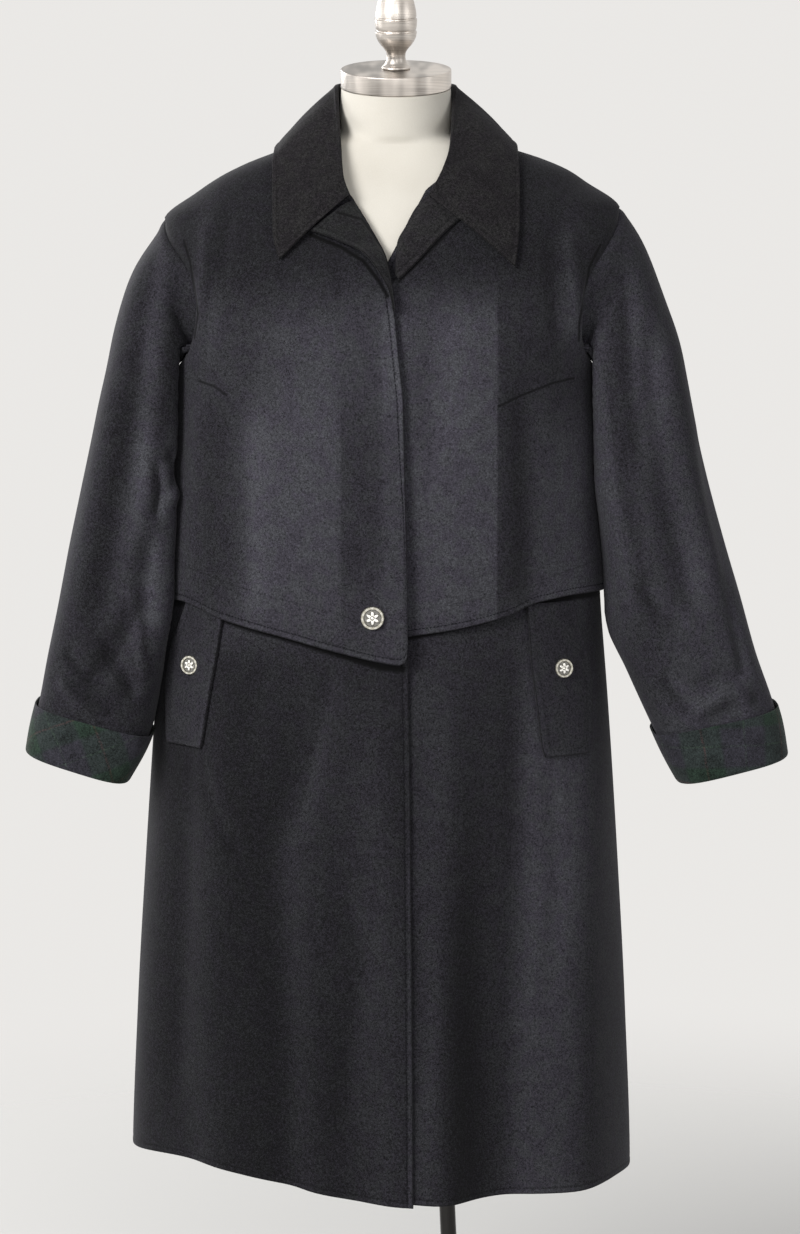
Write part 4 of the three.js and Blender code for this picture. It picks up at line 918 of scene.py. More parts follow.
def revers(name, node, rows, seat, over, under, finish, loose):
    steps = np.linspace(0, len(rows) - 1, 60)
    index = np.arange(len(rows), dtype=float)
    fold_x, fold_z, edge_x, edge_z = (curve_through(index, rows[:, k])(steps) for k in range(4))
    share = np.concatenate([[0, 0.02, 0.06], np.linspace(0.12, 0.9, 18), [0.94, 0.965, 0.985, 1]])
    x = fold_x[:, None] + (edge_x - fold_x)[:, None] * share
    z = fold_z[:, None] + (edge_z - fold_z)[:, None] * share
    width = np.hypot(edge_x - fold_x, edge_z - fold_z)[:, None]
    turn = front_turn(x, z)
    lift = under(turn, z) + seat + (over - seat) * eased(0, 0.25, share)
    lift = lift + 0.9 * np.sin(np.pi * share) * np.minimum(width / 30, 1)
    lift = lift + loose * share ** 2 * np.sin(np.pi * steps / steps[-1])[:, None]
    outer = on_body(turn, z, lift - 0.6 * np.clip(1 - (1 - share) * width / 1.4, 0, 1) ** 2)
    inner = on_body(turn, z, lift - CLOTH)
    # Its points carry a fold lean that grows towards the outer edge: painted shade there.
    piece = cloth_piece(name, outer, inner, finish, np.stack([share * width, z], -1),
                        (1 - share) * width, 0.12 * share)
    stands_for(piece, node)


# The facings' wool is darker than the body's: painted shade, as on the cloth above the bust; the right
# facing carries a line of painted shade along its crease.
facing_wool = wool("charcoal_facing", tone=0.72, tint=(1.03, 1.0, 0.9))
revers("right_revers_corner", "right_revers", RIGHT_REVERS, LAYER, 2.3 * LAYER, lap_lift,
       wool("charcoal_right_facing", tone=0.66, tint=(1.0, 1.03, 0.9), lines=[
           (((-62, 1373), (-38, 1366), (-26, 1350), (-13, 1329), (-9, 1312)), 2.0, 0.75)]), 6)
revers("left_revers_corner", "left_revers", LEFT_REVERS, CLOTH + 0.5, 6.2, lambda turn, z: 0 * z,
       facing_wool, 0.5)

# The collar: one strip with a stand that rises from the neckline, folds over and falls wide
# over the shoulders to two points. Turned and stitched at its edge.
# The way its fold faces, the fold's place, the outer edge, and the seam on the neckline.
COLLAR_FOLD, COLLAR_OFF = 3.4, 8.5
COLLAR = np.array([
    (-18, -49, -97, 1390, -118, 1324, -34, 1388, 6.5), (-28, -56, -88, 1408, -125, 1352, -40, 1404, 6.5),
    (-50, -60, -66, 1440, -126, 1388, -48, 1428, 6.5), (-75, -64, -37, 1476, -126, 1417, -72, 1448, 4),
    (-95, -66, -4, 1500, -121, 1439, -95, 1448, -0.3), (-130, -55, 34, 1504, -97, 1434, -132, 1448, -0.3),
    (-180, -5, 60, 1505, -6, 1430, -180, 1448, -0.3), (-230, 46, 34, 1504, 86, 1434, -228, 1448, -0.3),
    (-265, 57, -4, 1500, 115, 1438, -265, 1448, -0.3), (-285, 55, -37, 1476, 117, 1416, -288, 1448, 4),
    (-310, 51, -66, 1442, 118, 1388, -312, 1428, 6.5), (-332, 43, -87, 1418, 117, 1354, -322, 1412, 6.5),
    (-342, 28, -99, 1390, 112, 1317, -330, 1391, 6.5)], float)


def unit(vectors):
    return vectors / np.linalg.norm(vectors, axis=-1, keepdims=True)


def clear_of_body(points, lift):
    """Moves points straight off the body's face until they clear it by the lift."""
    for _ in range(3):
        level = np.minimum(points[..., 2], NECKLINE + 5)
        turn = np.degrees(np.arctan2(points[..., 0] - section_at[0](level), -points[..., 1]))
        normal = body_normal(turn, level, False)
        off = ((points - body_face(turn, level, False)) * normal).sum(-1)
        points = points + normal * np.maximum(lift - off, 0)[..., None]
    return points


def collar_grid():
    index = np.arange(len(COLLAR), dtype=float)
    ends = np.array([0, 0.012, 0.03, 0.06, 0.1])
    steps = np.concatenate([ends, np.linspace(0.1, 11.9, 119)[1:-1], 12 - ends[::-1]])
    turn, x, y, z, edge_x, edge_z, seam_turn, seam_z, seam_lift = (
        curve_through(index, COLLAR[:, k])(steps) for k in range(9))
    fold = np.stack([x, y, z], -1)
    along = unit(np.gradient(fold, steps, axis=0))
    angle = np.radians(turn)
    out = np.stack([np.sin(angle), -np.cos(angle), 0 * angle], -1)
    out = unit(out - along * (out * along).sum(-1, keepdims=True))
    crest = unit(np.cross(out, along))
    crest *= np.where(crest[:, 2:] < 0, -1, 1)
    seam = on_body(seam_turn, seam_z, seam_lift, False)
    mid, half, front, back, square = (at(edge_z) for at in section_at)
    across = np.minimum(0.985, np.abs((edge_x - mid) / half))
    depth = (1 - across ** square) ** (1 / square)
    behind = eased(-88, -128, turn) * eased(-272, -232, turn)
    edge_y = depth * (back * behind - front * (1 - behind))
    edge = clear_of_body(np.stack([edge_x, edge_y, edge_z], -1), 9)
    neck_side = fold - (out + crest) * COLLAR_FOLD
    out_side = fold + (out - crest) * COLLAR_FOLD
    line = [seam, seam + (neck_side - seam) * 0.5, neck_side, fold, out_side]
    for share in (0.25, 0.5, 0.75, 1):
        line.append(out_side + (edge - out_side) * share + out * 4 * math.sin(math.pi * share))
    fine = np.concatenate([np.linspace(0, 2, 9)[:-1], np.linspace(2, 4, 13)[:-1],
                           np.linspace(4, 7.9, 30), [7.93, 7.955, 7.975, 7.99, 8]])
    grid = along_rings(line, fine)
    cleared = clear_of_body(grid, COLLAR_OFF)
    grid = np.where((fine > 4.6)[:, None, None], cleared, grid)
    return np.moveaxis(grid, 0, 1)


def grid_normals(grid):
    return unit(np.cross(np.gradient(grid, axis=1), np.gradient(grid, axis=0)))


def run_along(points):
    return np.concatenate([[0], np.cumsum(np.linalg.norm(np.diff(points, axis=0), axis=1))])


collar_outer = collar_grid()
collar_inner = collar_outer + grid_normals(collar_outer) * CLOTH
to_edge = np.linalg.norm(collar_outer - collar_outer[:, -1:], axis=-1)
to_end = np.minimum(np.linalg.norm(collar_outer - collar_outer[:1], axis=-1),
                    np.linalg.norm(collar_outer - collar_outer[-1:], axis=-1))
from_fold = np.linalg.norm(collar_outer - collar_outer[:, 19:20], axis=-1)
collar_gap = np.minimum(to_edge, to_end + 20 * eased(40, 22, from_fold))
collar_outer = collar_outer - grid_normals(collar_outer) * (free_edge(collar_gap) * 0.9)[..., None]
reach, drop = run_along(collar_outer[:, 25]), run_along(collar_outer[60])
# The collar's wool is a darker copy of the body's: painted shade, as on the cloth above the bust.
collar = cloth_piece(
    "collar_cloth", collar_outer, collar_inner,
    wool("charcoal_collar", tone=0.52, tint=(1.06, 1.0, 0.9), edges=0.7),
    np.stack(np.meshgrid(reach, drop, indexing="ij"), -1), collar_gap, 0)
stands_for(collar, "collar")

# The sleeves: two-piece, an upper and an under half, wide at the top and narrow at the wrist,
# set into the armhole. They hang a little forward, and their seams run down front and back.
# Ring by ring: outer point, inner point as seen from the front, how far forward, half depth.
RIGHT_SLEEVE = np.array([
    (-250, 1357, -230, 1209, 0, 75), (-264, 1330, -231, 1205, -2, 79), (-278, 1300, -232, 1198, -6, 82),
    (-291, 1256, -233, 1186, -12, 83), (-301, 1206, -233, 1165, -19, 82), (-312, 1152, -233, 1128, -27, 79),
    (-324, 1097, -234, 1077, -36, 76), (-336, 1041, -236, 1019, -44, 72), (-347, 983, -237, 959, -51, 68),
    (-358, 929, -243, 902, -57, 64), (-367, 881, -254, 850, -62, 60), (-379, 830, -279, 798, -66, 56)],
    float)
LEFT_SLEEVE = np.array([
    (236, 1362, 202, 1209, 0, 75), (250, 1338, 203, 1205, -2, 79), (264, 1303, 204, 1198, -6, 82),
    (280, 1256, 204, 1186, -12, 83), (292, 1204, 205, 1165, -19, 82), (303, 1150, 205, 1128, -27, 79),
    (316, 1095, 206, 1077, -36, 76), (331, 1040, 205, 1022, -44, 72), (347, 985, 208, 962, -51, 68),
    (362, 930, 232, 908, -57, 64), (380, 878, 258, 852, -62, 60), (393, 826, 285, 798, -66, 56)], float)
# How far the sleeve's front lies over the body's side, where round the sleeve, and how wide.
OVERLAP, OVERLAP_AT, OVERLAP_WIDTH = 25, 122, 42
OVERLAP_FOOT, OVERLAP_RISE, OVERLAP_TOP, OVERLAP_FADE = {-1: 870, 1: 980}, 130, 1330, 60
# The air between sleeve and body: the least, what the first ring has, what each ring adds, the
# most, and the level above which the sleeve joins the body.
AIR_LEAST, AIR_FIRST, AIR_STEP, AIR_MOST, AIR_BELOW = 3, 4.8, 1.6, 11.6, 1240
UNDER_FROM = 108
RIGHT_SLEEVE_CREASES = [
    (((-221, 1380), (-230, 1307), (-241, 1218), (-254, 1108), (-276, 987)), 13, 4.2, 1),
    (((-240, 1360), (-252, 1290), (-262, 1200)), 12, -2.6, 1),
    (((-250, 1270), (-264, 1148), (-286, 1028), (-304, 937)), 17, -4.4, 1),
    (((-280, 1230), (-308, 1068), (-334, 940)), 15, 4.6, 1),
    (((-232, 1140), (-222, 1120), (-226, 1092)), 5, -3.6, 1),
    (((-213, 1156), (-214, 1118), (-231, 1078)), 5, 3.2, 1),
    (((-246, 1132), (-238, 1100), (-244, 1066)), 5, -3.0, 1),
    (((-250, 1060), (-256, 1000), (-252, 950)), 10, -3.6, 1),
    (((-258, 992), (-282, 937), (-316, 894)), 9, -5.0, 1),
    (((-302, 956), (-280, 920), (-262, 886)), 7, -4.4, 1),
    (((-345, 912), (-322, 886), (-296, 872)), 6, 4.4, 1),
    (((-338, 940), (-318, 915), (-300, 905)), 5, -3.4, 1),
    (((-270, 1010), (-262, 950), (-256, 900)), 6, 2.6, 1),
    (((-300, 1300), (-300, 1150), (-320, 1020)), 18, -4.4, -1),
    (((-262, 1200), (-275, 1080), (-296, 960)), 14, 4.2, -1),
    (((-350, 1000), (-345, 930)), 8, -3.8, -1), (((-300, 930), (-318, 880)), 8, -3.6, -1),
    (((-270, 1010), (-300, 985), (-330, 990)), 7, -3.0, -1)]
LEFT_SLEEVE_CREASES = [
    (((203, 1310), (205, 1188), (222, 1068), (248, 947)), 12, 4.2, 1),
    (((226, 1330), (232, 1200), (244, 1100)), 9, -3.2, 1),
    (((246, 1290), (254, 1168), (272, 1068), (302, 947)), 14, -4.6, 1),
    (((268, 1290), (280, 1188), (297, 1088), (325, 970)), 13, 4.4, 1),
    (((300, 1160), (316, 1070), (338, 985)), 9, -2.8, 1),
    (((331, 1000), (340, 950), (350, 900)), 6, -3.2, 1),
    (((306, 876), (324, 891), (340, 894), (358, 884)), 6, 5.0, 1),
    (((304, 862), (326, 875), (352, 868)), 6, -4.2, 1), (((302, 905), (324, 912), (350, 908)), 6, -3.4, 1),
    (((236, 1010), (262, 975), (292, 960)), 8, -3.2, 1), (((262, 915), (284, 888), (300, 872)), 7, -3.4, 1),
    (((275, 1290), (292, 1140), (318, 1010)), 17, -4.4, -1),
    (((240, 1190), (258, 1060), (290, 950)), 14, 4.0, -1), (((350, 950), (362, 890)), 8, -3.6, -1),
    (((280, 1010), (310, 985), (344, 992)), 7, -3.0, -1)]
ARMHOLE_OFF = 0.4


def armhole(side, degrees):
    middle = (ARM_TOP + ARM_BOTTOM) / 2
    z = middle + (ARM_TOP - middle) * np.cos(np.radians(degrees))
    forward = np.sin(np.radians(degrees))
    reach = np.sign(forward) * arm_reach(np.cos(np.radians(degrees)))
    point = on_body(side * (90 - reach), z, 0.4 * LAYER * eased(0, 1, 3 * forward + 1), False)
    point[:, 0] += side * ARMHOLE_OFF
    return point


def sleeve_ring(row, degrees):
    out_x, out_z, in_x, in_z, y, deep = row
    outer, inner = np.array([out_x, y, out_z]), np.array([in_x, y, in_z])
    cos, sin = np.cos(np.radians(degrees)), np.sin(np.radians(degrees))
    power = 2 / (2.2 + 1.1 * eased(1000, 850, in_z))
    point = (outer + inner) / 2 + (outer - inner) / 2 * (np.sign(cos) * np.abs(cos) ** power)[:, None]
    point[:, 1] -= deep * np.sign(sin) * np.abs(sin) ** power
    return point


def beside_body(points, side, rings):
    """Pushes a sleeve out sideways where the body's side would touch it."""
    mid, half, front, back, square = (at(points[..., 2]) for at in section_at)
    most = np.minimum(AIR_MOST, AIR_FIRST + AIR_STEP * rings[:, None])
    air = AIR_LEAST + (most - AIR_LEAST) * eased(900, 950, points[..., 2])
    depth = np.where(points[..., 1] < 0, front, back) + air
    share = np.minimum(np.abs(points[..., 1]) / depth, 1)
    least = (half + air) * (1 - share ** square) ** (1 / square)
    pushed = mid + side * np.maximum(side * (points[..., 0] - mid), least)
    low = points[..., 2] < AIR_BELOW
    return np.stack([np.where(low, pushed, points[..., 0]), points[..., 1], points[..., 2]], -1)


def sleeve_face(side, table, rings, degrees):
    whole = np.array([armhole(side, degrees)] + [sleeve_ring(row, degrees) for row in table])
    face = along_rings(whole, rings)
    from_front = ((degrees - OVERLAP_AT + 180) % 360 - 180) / OVERLAP_WIDTH
    low, level = OVERLAP_FOOT[side], face[..., 2]
    over_body = (eased(low, low + OVERLAP_RISE, level)
                 * eased(OVERLAP_TOP, OVERLAP_TOP - OVERLAP_FADE, level))
    face[..., 0] -= side * OVERLAP * np.exp(-from_front ** 2) * over_body
    return beside_body(face, side, rings)


def sleeve_creases(points, degrees, creases):
    facing = np.sin(np.radians(degrees))[None, :] + 0 * points[..., 0]
    return crease_depth(points[..., 0], points[..., 2], facing, creases)


def sleeve_half(name, node, side, table, creases, finish, start, end):
    seam = np.array([0.03, 1.2, 3])
    middle = np.linspace(start + 3, end - 3, int((end - start) / 3.4))[1:-1]
    degrees = np.concatenate([start + seam, middle, end - seam[::-1]])
    rings = np.concatenate([[0, 0.02, 0.06], np.linspace(0.15, 11.94, 124)])
    face = sleeve_face(side, table, rings, degrees)
    normal = grid_normals(face)
    centre = face.mean(axis=1, keepdims=True)
    outward = (normal * (face - centre)).sum() > 0
    normal = normal if outward else -normal
    hidden = eased(11.05, 10.9, rings)[:, None]
    lift = sleeve_creases(face, degrees, creases) * eased(0, 1.2, rings)[:, None] * hidden
    lift = lift - 1.0 * np.exp(-rings / 0.05)[:, None]
    head = eased(-0.3, 0.6, np.cos(np.radians(degrees)))
    lift = lift + 1.0 * np.exp(-(((rings - 0.32) / 0.28) ** 2))[:, None] * head
    outer = face + normal * lift[..., None]
    inner = face + normal * (np.minimum(lift, 2) - CLOTH)[..., None]
    run = np.cumsum(np.linalg.norm(np.diff(face[60], axis=0, prepend=face[60, :1]), axis=-1))
    grid = np.stack([np.broadcast_to(run, face.shape[:2]), face[..., 2]], -1)
    # How far the creases turn the cloth sideways, for the finish's painted shade on the folds.
    lay = (grid_normals(outer) - grid_normals(face))[..., 0] * (1 if outward else -1)
    piece = cloth_piece(name, outer, inner, finish, grid, np.full(lay.shape, 60.0), lay)
    piece.data.set_sharp_from_angle(angle=math.radians(50))
    stands_for(piece, node)
    node.split("_")[0] + "_front"


# The sleeves are a lighter and a darker copy of the wool, for painted light and shade: the right one has
# painted light on its inner part and painted shade above the cuff, the left one patches of painted shade.
right_sleeve_wool = wool("charcoal_right_sleeve", tone=0.9, patches=[
    (-262, -190, 860, 1150, (14, 1, 40), 0.8), (-330, -240, 860, 950, (20, 20, 40), -0.25)])
left_sleeve_wool = wool("charcoal_left_sleeve", tone=1.5, patches=[
    (262, 300, 1040, 1330, (16, 20, 50), -0.3), (225, 270, 860, 1000, (20, 20, 40), -0.3),
    (190, 300, 1280, 1400, (1, 1, 50), -0.3)])
for side, name, table, creases, finish in (
        (-1, "right", RIGHT_SLEEVE, RIGHT_SLEEVE_CREASES, right_sleeve_wool),
        (1, "left", LEFT_SLEEVE, LEFT_SLEEVE_CREASES, left_sleeve_wool)):
    sleeve_half(name + "_upper_half", name + "_upper_sleeve", side, table, creases, finish,
                -UNDER_FROM, UNDER_FROM)
    sleeve_half(name + "_under_half", name + "_under_sleeve", side, table, creases, finish,
                UNDER_FROM, 360 - UNDER_FROM)


# The cuffs: the sleeve's end turned back, its face of thin checked wool in dark green and
# navy with fine red and pale green lines, cut on the cross on one side.
CHECK_REPEAT = 80
CUFF_DEPTH, CUFF_END, CUFF_OFF, CUFF_FLARE = 0.95, 0.06, 0.6, 1.0


def checked_wool(name, slant):
    finish = Finish(name, Roughness=0.92, Sheen_Weight=0.06, Specular_IOR_Level=0.15)
    flat = finish.node("ShaderNodeUVMap", {"uv_map": "cloth"}, {})
    turned_flat = finish.node("ShaderNodeMapping", {}, {
        "Vector": flat, "Rotation": (0, 0, math.radians(slant))})
    u, v = (finish.node("ShaderNodeSeparateXYZ", {}, {0: turned_flat}, k) * 1000 for k in range(2))
    place = finish.place()
    fibre = finish.noise(place, 520, 3, 0.7)
    fleck = finish.noise(place, 1300, 2, 0.6)
    cloud = finish.noise(place, 70, 3)
    half = CHECK_REPEAT / 2
    colours = []
    for way in (u, v):
        place_in = (way / CHECK_REPEAT).maths("FRACT") * CHECK_REPEAT + (cloud - 0.5) * 3
        green = place_in.eased(0, 5) * place_in.eased(half + 3, half - 2)
        red = (place_in - half / 2).maths("ABSOLUTE").eased(1.6, 0.5)
        pale = (place_in - half * 1.5).maths("ABSOLUTE").eased(1.6, 0.5)
        colour = finish.mixed(green, (0.029, 0.028, 0.036, 1), (0.020, 0.035, 0.025, 1))
        colour = finish.mixed(red * fibre.eased(0.35, 0.65) * 0.55, colour, (0.10, 0.032, 0.024, 1))
        colours.append(finish.mixed(pale * fibre.eased(0.35, 0.65) * 0.45, colour, (0.055, 0.085, 0.055, 1)))
    twill = ((u + v) / 1.8).maths("FRACT").eased(0.35, 0.65)
    mixed = finish.mixed(0.35 + twill * 0.3, *colours)
    light = (0.95 + (fibre - 0.5) * 2.8 + (fleck - 0.5) * 3.0 + (cloud - 0.5) * 1.4).most(0.15)
    finish.feed("Base Color", finish.scaled(mixed, light))
    finish.raised(fibre * 0.7 + twill * 0.3, 0.0007, 0.6)
    return finish.material


def cuff_lift(ring, end):
    return CUFF_OFF + CLOTH + CUFF_FLARE * eased(0, 1, (end - ring) / CUFF_DEPTH) ** 0.8


def cuff_outline(end):
    """The cuff's section, as places down the sleeve and heights off its face."""
    top, low = end - CUFF_DEPTH, end - CUFF_END + 0.012
    high = CUFF_OFF + CUFF_FLARE + CLOTH
    outline = [(top + 0.004, high - CLOTH * 0.5), (top, high - CLOTH * 0.22), (top + 0.01, high + 0.1)]
    outline += [(r, cuff_lift(r, end) + 0.9 * math.sin(math.pi * (r - top) / CUFF_DEPTH))
                for r in np.linspace(top + 0.03, end - 0.06, 26)]
    outline += [(end - 0.03, CUFF_OFF + CLOTH - 0.1), (end - 0.012, CUFF_OFF + CLOTH - 0.6),
                (end, CUFF_OFF + CLOTH - 1.6), (end + 0.004, 0.2), (end, -CLOTH + 0.8),
                (end - 0.014, -CLOTH), (low, -CLOTH + 0.2), (low, CUFF_OFF)]
    return outline + [(r, cuff_lift(r, end) - CLOTH) for r in np.linspace(end - 0.1, top + 0.03, 14)]


def cuff(name, node, side, table, creases, finish):
    end = len(table)
    outline = cuff_outline(end)
    columns = 120
    degrees = np.arange(columns) * 360 / columns + 180
    rings = np.array([row[0] for row in outline])
    order = np.argsort(rings, kind="stable")
    face = np.empty((len(outline), columns, 3))
    face[order] = sleeve_face(side, table, rings[order], degrees)
    away = unit(face - face.mean(axis=1, keepdims=True))
    around = np.roll(face, -1, axis=1) - np.roll(face, 1, axis=1)
    down = sleeve_face(side, table, np.array([end - 0.5, float(end)]), degrees)
    slope = unit(down[1] - down[0])
    normal = unit(np.cross(around, slope[None]))
    normal = np.where((normal * away).sum(-1, keepdims=True) < 0, -normal, normal)
    wave = 0.4 * np.sin(np.radians(degrees * 3 + 40 * side)) + 0.3 * np.sin(np.radians(degrees * 5 + 100))
    free = eased(end, end - CUFF_DEPTH, rings)[:, None] * wave[None, :]
    lift = np.array([row[1] for row in outline])[:, None] + free
    points = face + normal * (lift + sleeve_creases(face, degrees, creases))[..., None]
    count = len(outline)
    faces, uv = [], []
    run = np.linalg.norm(np.roll(face[10], -1, axis=0) - face[10], axis=-1)
    across = np.concatenate([[0], np.cumsum(run)])
    across *= math.floor(across[-1] / CHECK_REPEAT + 0.5) * CHECK_REPEAT / across[-1]
    length = np.linalg.norm(down[1] - down[0], axis=-1).mean() / 0.5
    for r in range(count):
        s = (r + 1) % count
        v0, v1 = rings[r] * length, rings[s] * length
        for c in range(columns):
            d = (c + 1) % columns
            faces.append((r * columns + c, r * columns + d, s * columns + d, s * columns + c))
            uv += [(across[c], v0), (across[c + 1], v0), (across[c + 1], v1), (across[c], v1)]
    flat = points.reshape(-1, 3)
    first = faces[8 * columns]
    facing = np.cross(flat[first[1]] - flat[first[0]], flat[first[2]] - flat[first[1]])
    if (facing * away[8, 0]).sum() < 0:
        faces = [face[::-1] for face in faces]
        uv = [corner for k in range(0, len(uv), 4) for corner in uv[k:k + 4][::-1]]
    piece = piece_of(name, flat, faces, finish, np.array(uv) / 1000)
    stands_for(piece, node)


cuff("right_cuff_turned", "right_cuff", -1, RIGHT_SLEEVE,
     [(((-336, 868), (-326, 856), (-316, 845)), 3.5, -2.0, 1)], checked_wool("check_right", 38))
cuff("left_cuff_turned", "left_cuff", 1, LEFT_SLEEVE,
     [(((330, 850), (342, 826)), 6, -1.2, 1)], checked_wool("check_left", 12))

# The pocket welts: slanted double strips of the same wool, sewn on the fronts over the pocket
# mouth, topstitched near their edge, their upper ends under the capes.
RIGHT_WELT = np.array([(839, -235, -196), (846, -236, -194), (890, -236, -187), (930, -231, -181),
                       (967, -219, -176), (990, -212, -172)], float)
LEFT_WELT = np.array([(831, 184, 145), (838, 187, 143), (885, 189, 137), (925, 187, 131),
                      (970, 175, 127), (986, 171, 125.5)], float)


def welt(name, node, rows, finish):
    z = np.concatenate([rows[0, 0] + EDGE_STEPS, np.linspace(rows[0, 0] + 14, rows[-1, 0], 40)])[:, None]
    out_x, in_x = (curve_through(rows[:, 0], rows[:, k])(z) for k in (1, 2))
    wide = np.abs(out_x - in_x)
    steps = np.concatenate([EDGE_STEPS, [16, 20]])
    gap = np.concatenate([steps + 0 * wide, wide - steps[::-1]], axis=1)
    x = in_x + np.sign(out_x - in_x) * gap
    z = z + 0 * x
    turn = front_turn(x, z)
    edge = np.minimum(np.minimum(gap, wide - gap), z - rows[0, 0])
    outer = on_body(turn, z, LAYER + free_edge(edge) + 0.3)
    inner = on_body(turn, z, LAYER - CLOTH)
    piece = cloth_piece(name, outer, inner, finish, np.stack([gap, z], -1), edge, body_lean(turn, z))
    stands_for(piece, node)


welt_wool = wool("charcoal_welt", tone=0.96, edges=0.4)
welt("right_welt", "right_pocket_welt", RIGHT_WELT, welt_wool)
welt("left_welt", "left_pocket_welt", LEFT_WELT, welt_wool)


# The buttons: cast silver coloured metal, a shallow dish with a broken rim and a raised star
# flower of six petals, blackened in its grooves, sewn on by a shank.
def button_silver():
    finish = Finish("button_silver", Metallic=0.9)
    place = finish.place()
    worn = finish.noise(place, 900, 3)
    finish.feed("Roughness", 0.3 + worn * 0.25)
    shine = finish.own("shine") + (worn - 0.5) * 0.3
    rim = finish.mixed(shine.eased(0.1, 0.5), (0.20, 0.195, 0.18, 1), (0.46, 0.44, 0.37, 1))
    finish.feed("Base Color", finish.mixed(shine.eased(0.5, 0.9), rim, (0.86, 0.85, 0.81, 1)))
    finish.raised(worn, 0.0001, 0.4)
    return finish.material


button_metal = button_silver()
SHANK_TILT = 0.8
FRONT_BUTTON, POCKET_BUTTON = 11.6, 9.6


def silver_button(name, node, x, z, radius, lift):
    columns = 120
    angle = np.arange(columns) * 2 * np.pi / columns
    shares = np.concatenate([np.linspace(0.03, 0.64, 30), np.linspace(0.66, 1.0, 18)])
    rows, shines = [], []
    for share in shares:
        star = 0.30 + 0.34 * np.abs(np.cos(3 * angle)) ** 1.2
        petal = eased(star + 0.02, star - 0.12, share)
        heart = math.exp(-((share / 0.07) ** 2))
        ring = math.exp(-(((share - 0.155) / 0.035) ** 2))
        rim = eased(0.70, 0.78, share) * eased(1.02, 0.95, share) * np.ones(columns)
        arcs = 0.45 + 0.2 * eased(-0.6, 0.3, np.cos(11 * angle + 0.4))
        edge = -1.3 * max(0.0, (share - 0.93) / 0.07) ** 2
        rows.append(2.0 + 1.5 * petal - 0.5 * ring + 0.5 * heart + 1.7 * rim * (0.8 + 0.2 * arcs) + edge)
        shines.append(np.maximum(petal * (1 - 0.9 * ring), rim * arcs))
    profile = list(zip(shares, rows))
    profile += [(share, np.full(columns, height)) for share, height in (
        (1.0, 1.6), (0.94, 1.2), (0.36, 1.0), (0.3, 0.6), (0.3, 0.0), (0.04, 0.0))]
    rings = np.array([np.stack([s * radius * np.sin(angle), -s * radius * np.cos(angle), h], -1)
                      for s, h in profile])
    shines += [np.full(columns, 0.4)] * (len(profile) - len(shares))
    level = np.array(float(z))
    turn = front_turn(np.array(float(x)), level)
    out = unit(body_normal(turn, level) + (0, -SHANK_TILT, 0))
    middle = on_body(turn, level, lift(turn, level) + 0.3)
    right = unit(np.cross(np.array([0, 0, 1.0]), out))
    up = np.cross(out, right)
    placed = middle + rings[..., :1] * right + rings[..., 1:2] * -up + rings[..., 2:] * out
    piece = lidded(name, placed[::-1], button_metal)
    note(piece, "shine", np.concatenate([np.array(shines)[::-1].ravel(), [0.4, 1.0]]))
    stands_for(piece, node)


silver_button("front_button_cast", "front_button", -27, 977, FRONT_BUTTON, right_cape_lift)
silver_button("right_pocket_button_cast", "right_pocket_button", -208, 921, POCKET_BUTTON,
              lambda turn, z: LAYER)
silver_button("left_pocket_button_cast", "left_pocket_button", 161, 919, POCKET_BUTTON,
              lambda turn, z: LAYER)


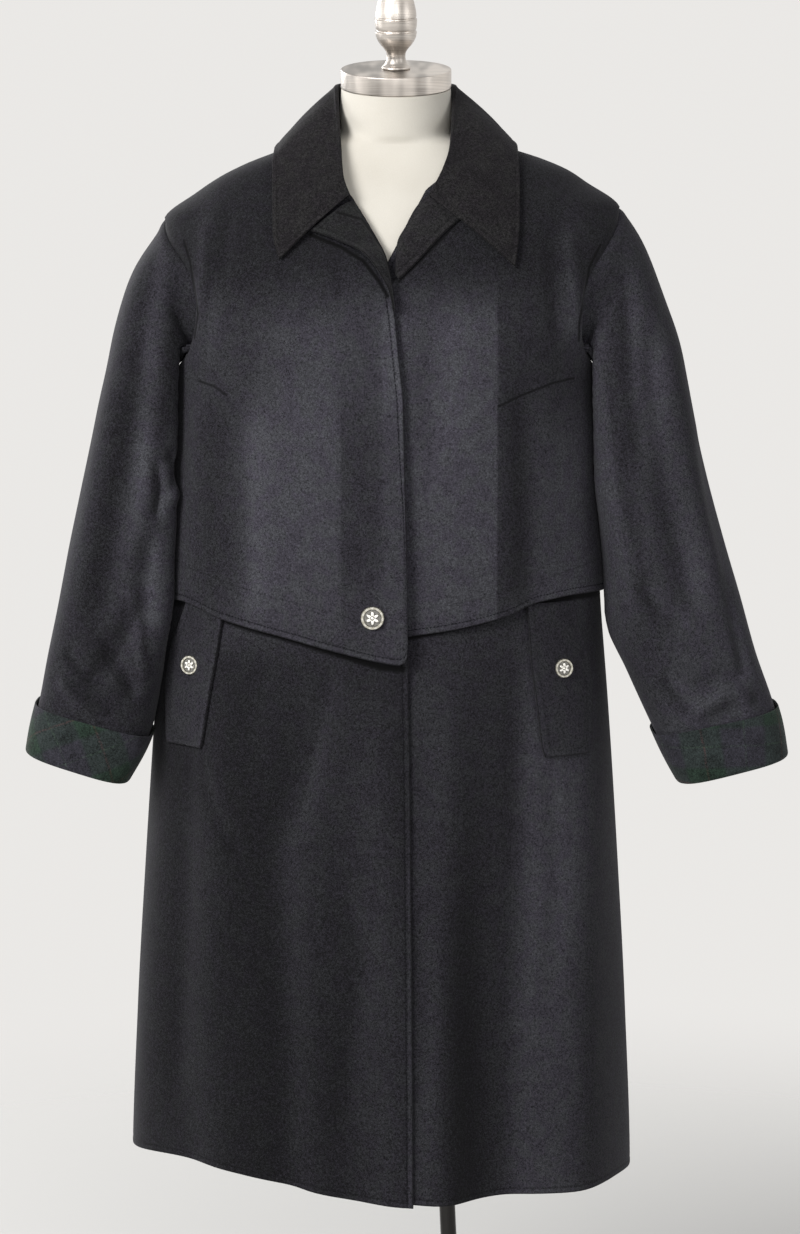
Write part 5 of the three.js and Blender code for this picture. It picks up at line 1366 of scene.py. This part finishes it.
# The topstitching: a row of dark thread inside the capes' hems and the right side's front
# edges, stitches just under 3 mm long with a little gap, sunk in the wool.
def stitch_tree():
    tree = bpy.data.node_groups.new("topstitch", "GeometryNodeTree")
    face = tree.interface
    face.new_socket("Seam", in_out="INPUT", socket_type="NodeSocketGeometry")
    for label, value in (("Stitch length", 0.0027), ("Gap", 0.0009), ("Thread radius", 0.00042)):
        face.new_socket(label, in_out="INPUT", socket_type="NodeSocketFloat").default_value = value
    face.new_socket("Thread", in_out="INPUT", socket_type="NodeSocketMaterial")
    face.new_socket("Stitches", in_out="OUTPUT", socket_type="NodeSocketGeometry")
    new, link = tree.nodes.new, tree.links.new
    start, end = new("NodeGroupInput"), new("NodeGroupOutput")
    line = new("GeometryNodeMeshToCurve")
    link(start.outputs["Seam"], line.inputs["Mesh"])
    pitch = new("ShaderNodeMath")
    link(start.outputs["Stitch length"], pitch.inputs[0])
    link(start.outputs["Gap"], pitch.inputs[1])
    spaced = new("GeometryNodeResampleCurve")
    spaced.mode = "LENGTH"
    link(line.outputs[0], spaced.inputs["Curve"])
    link(pitch.outputs[0], spaced.inputs["Length"])
    stitch = new("GeometryNodeMeshUVSphere")
    stitch.inputs["Segments"].default_value = 6
    stitch.inputs["Rings"].default_value = 4
    stitch.inputs["Radius"].default_value = 1
    half = new("ShaderNodeMath")
    half.operation = "MULTIPLY"
    half.inputs[1].default_value = 0.5
    link(start.outputs["Stitch length"], half.inputs[0])
    uneven = new("FunctionNodeRandomValue")
    uneven.inputs[2].default_value = 0.85
    uneven.inputs[3].default_value = 1.1
    uneven.inputs["Seed"].default_value = 7
    size = new("ShaderNodeMath")
    size.operation = "MULTIPLY"
    link(half.outputs[0], size.inputs[0])
    link(uneven.outputs[1], size.inputs[1])
    scale = new("ShaderNodeCombineXYZ")
    link(start.outputs["Thread radius"], scale.inputs[0])
    link(start.outputs["Thread radius"], scale.inputs[1])
    link(size.outputs[0], scale.inputs[2])
    way = new("GeometryNodeInputTangent")
    turn = new("FunctionNodeAlignRotationToVector")
    turn.axis = "Z"
    link(way.outputs[0], turn.inputs["Vector"])
    placed = new("GeometryNodeInstanceOnPoints")
    link(spaced.outputs[0], placed.inputs["Points"])
    link(stitch.outputs[0], placed.inputs["Instance"])
    link(turn.outputs[0], placed.inputs["Rotation"])
    link(scale.outputs[0], placed.inputs["Scale"])
    real = new("GeometryNodeRealizeInstances")
    link(placed.outputs[0], real.inputs[0])
    coloured = new("GeometryNodeSetMaterial")
    link(real.outputs[0], coloured.inputs["Geometry"])
    link(start.outputs["Thread"], coloured.inputs["Material"])
    link(coloured.outputs[0], end.inputs[0])
    return tree


def thread():
    finish = Finish("dark_thread", Roughness=0.95, Specular_IOR_Level=0.05)
    strand = finish.noise(finish.place(), 1800, 2)
    finish.feed("Base Color", finish.node("ShaderNodeValToRGB", {"stops": [
        (0.3, (0.006, 0.006, 0.008)), (0.7, (0.015, 0.015, 0.018))]}, {0: strand}))
    return finish.material


THREAD_SUNK = 0.15
stitches = stitch_tree()
dark_thread = thread()


def topstitch(name, seams):
    """Sews rows of stitches along lines of points and leaves one plain mesh."""
    points, edges = [], []
    for seam in seams:
        first = len(points)
        points += ((np.asarray(seam) - (FOOT_X, 0, 0)) / 1000).tolist()
        edges += [(k, k + 1) for k in range(first, len(points) - 1)]
    line = bpy.data.meshes.new(name + "_line")
    line.from_pydata(points, edges, [])
    guide = bpy.data.objects.new(name + "_line", line)
    bpy.context.collection.objects.link(guide)
    modifier = guide.modifiers.new("stitches", "NODES")
    modifier.node_group = stitches
    for item in stitches.interface.items_tree:
        if item.name == "Thread":
            modifier[item.identifier] = dark_thread
    ready = bpy.context.evaluated_depsgraph_get()
    mesh = bpy.data.meshes.new_from_object(guide.evaluated_get(ready))
    bpy.data.objects.remove(guide)
    mesh.polygons.foreach_set("use_smooth", [True] * len(mesh.polygons))
    piece = bpy.data.objects.new(name, mesh)
    bpy.context.collection.objects.link(piece)
    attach(piece, "root")


def seam_on(grid, edge, lift, top=NECKLINE):
    """The line on a panel beside its front edge or its hem, up to a level."""
    turn, z, from_front, _, from_hem = grid
    across, other = from_front, from_hem
    if edge == "hem":
        turn, z, across, other = turn.T, z.T, from_hem.T, from_front.T
    line = []
    for row, *values in zip(across, turn, z, other):
        place, level, clear = (np.interp(STITCH_IN, row, value) for value in values)
        if clear >= STITCH_IN and level < top:
            line.append((place, level))
    turn, z = np.array(line).T
    return on_body(turn, z, lift(turn, z) - THREAD_SUNK)


topstitch("cape_topstitch", [
    seam_on(right_cape, "front", right_cape_lift, 1340),
    seam_on(right_cape, "hem", right_cape_lift),
    seam_on(left_cape, "hem", left_cape_lift)])
topstitch("front_topstitch", [seam_on(right_front, "front", lap_lift, 1000)])
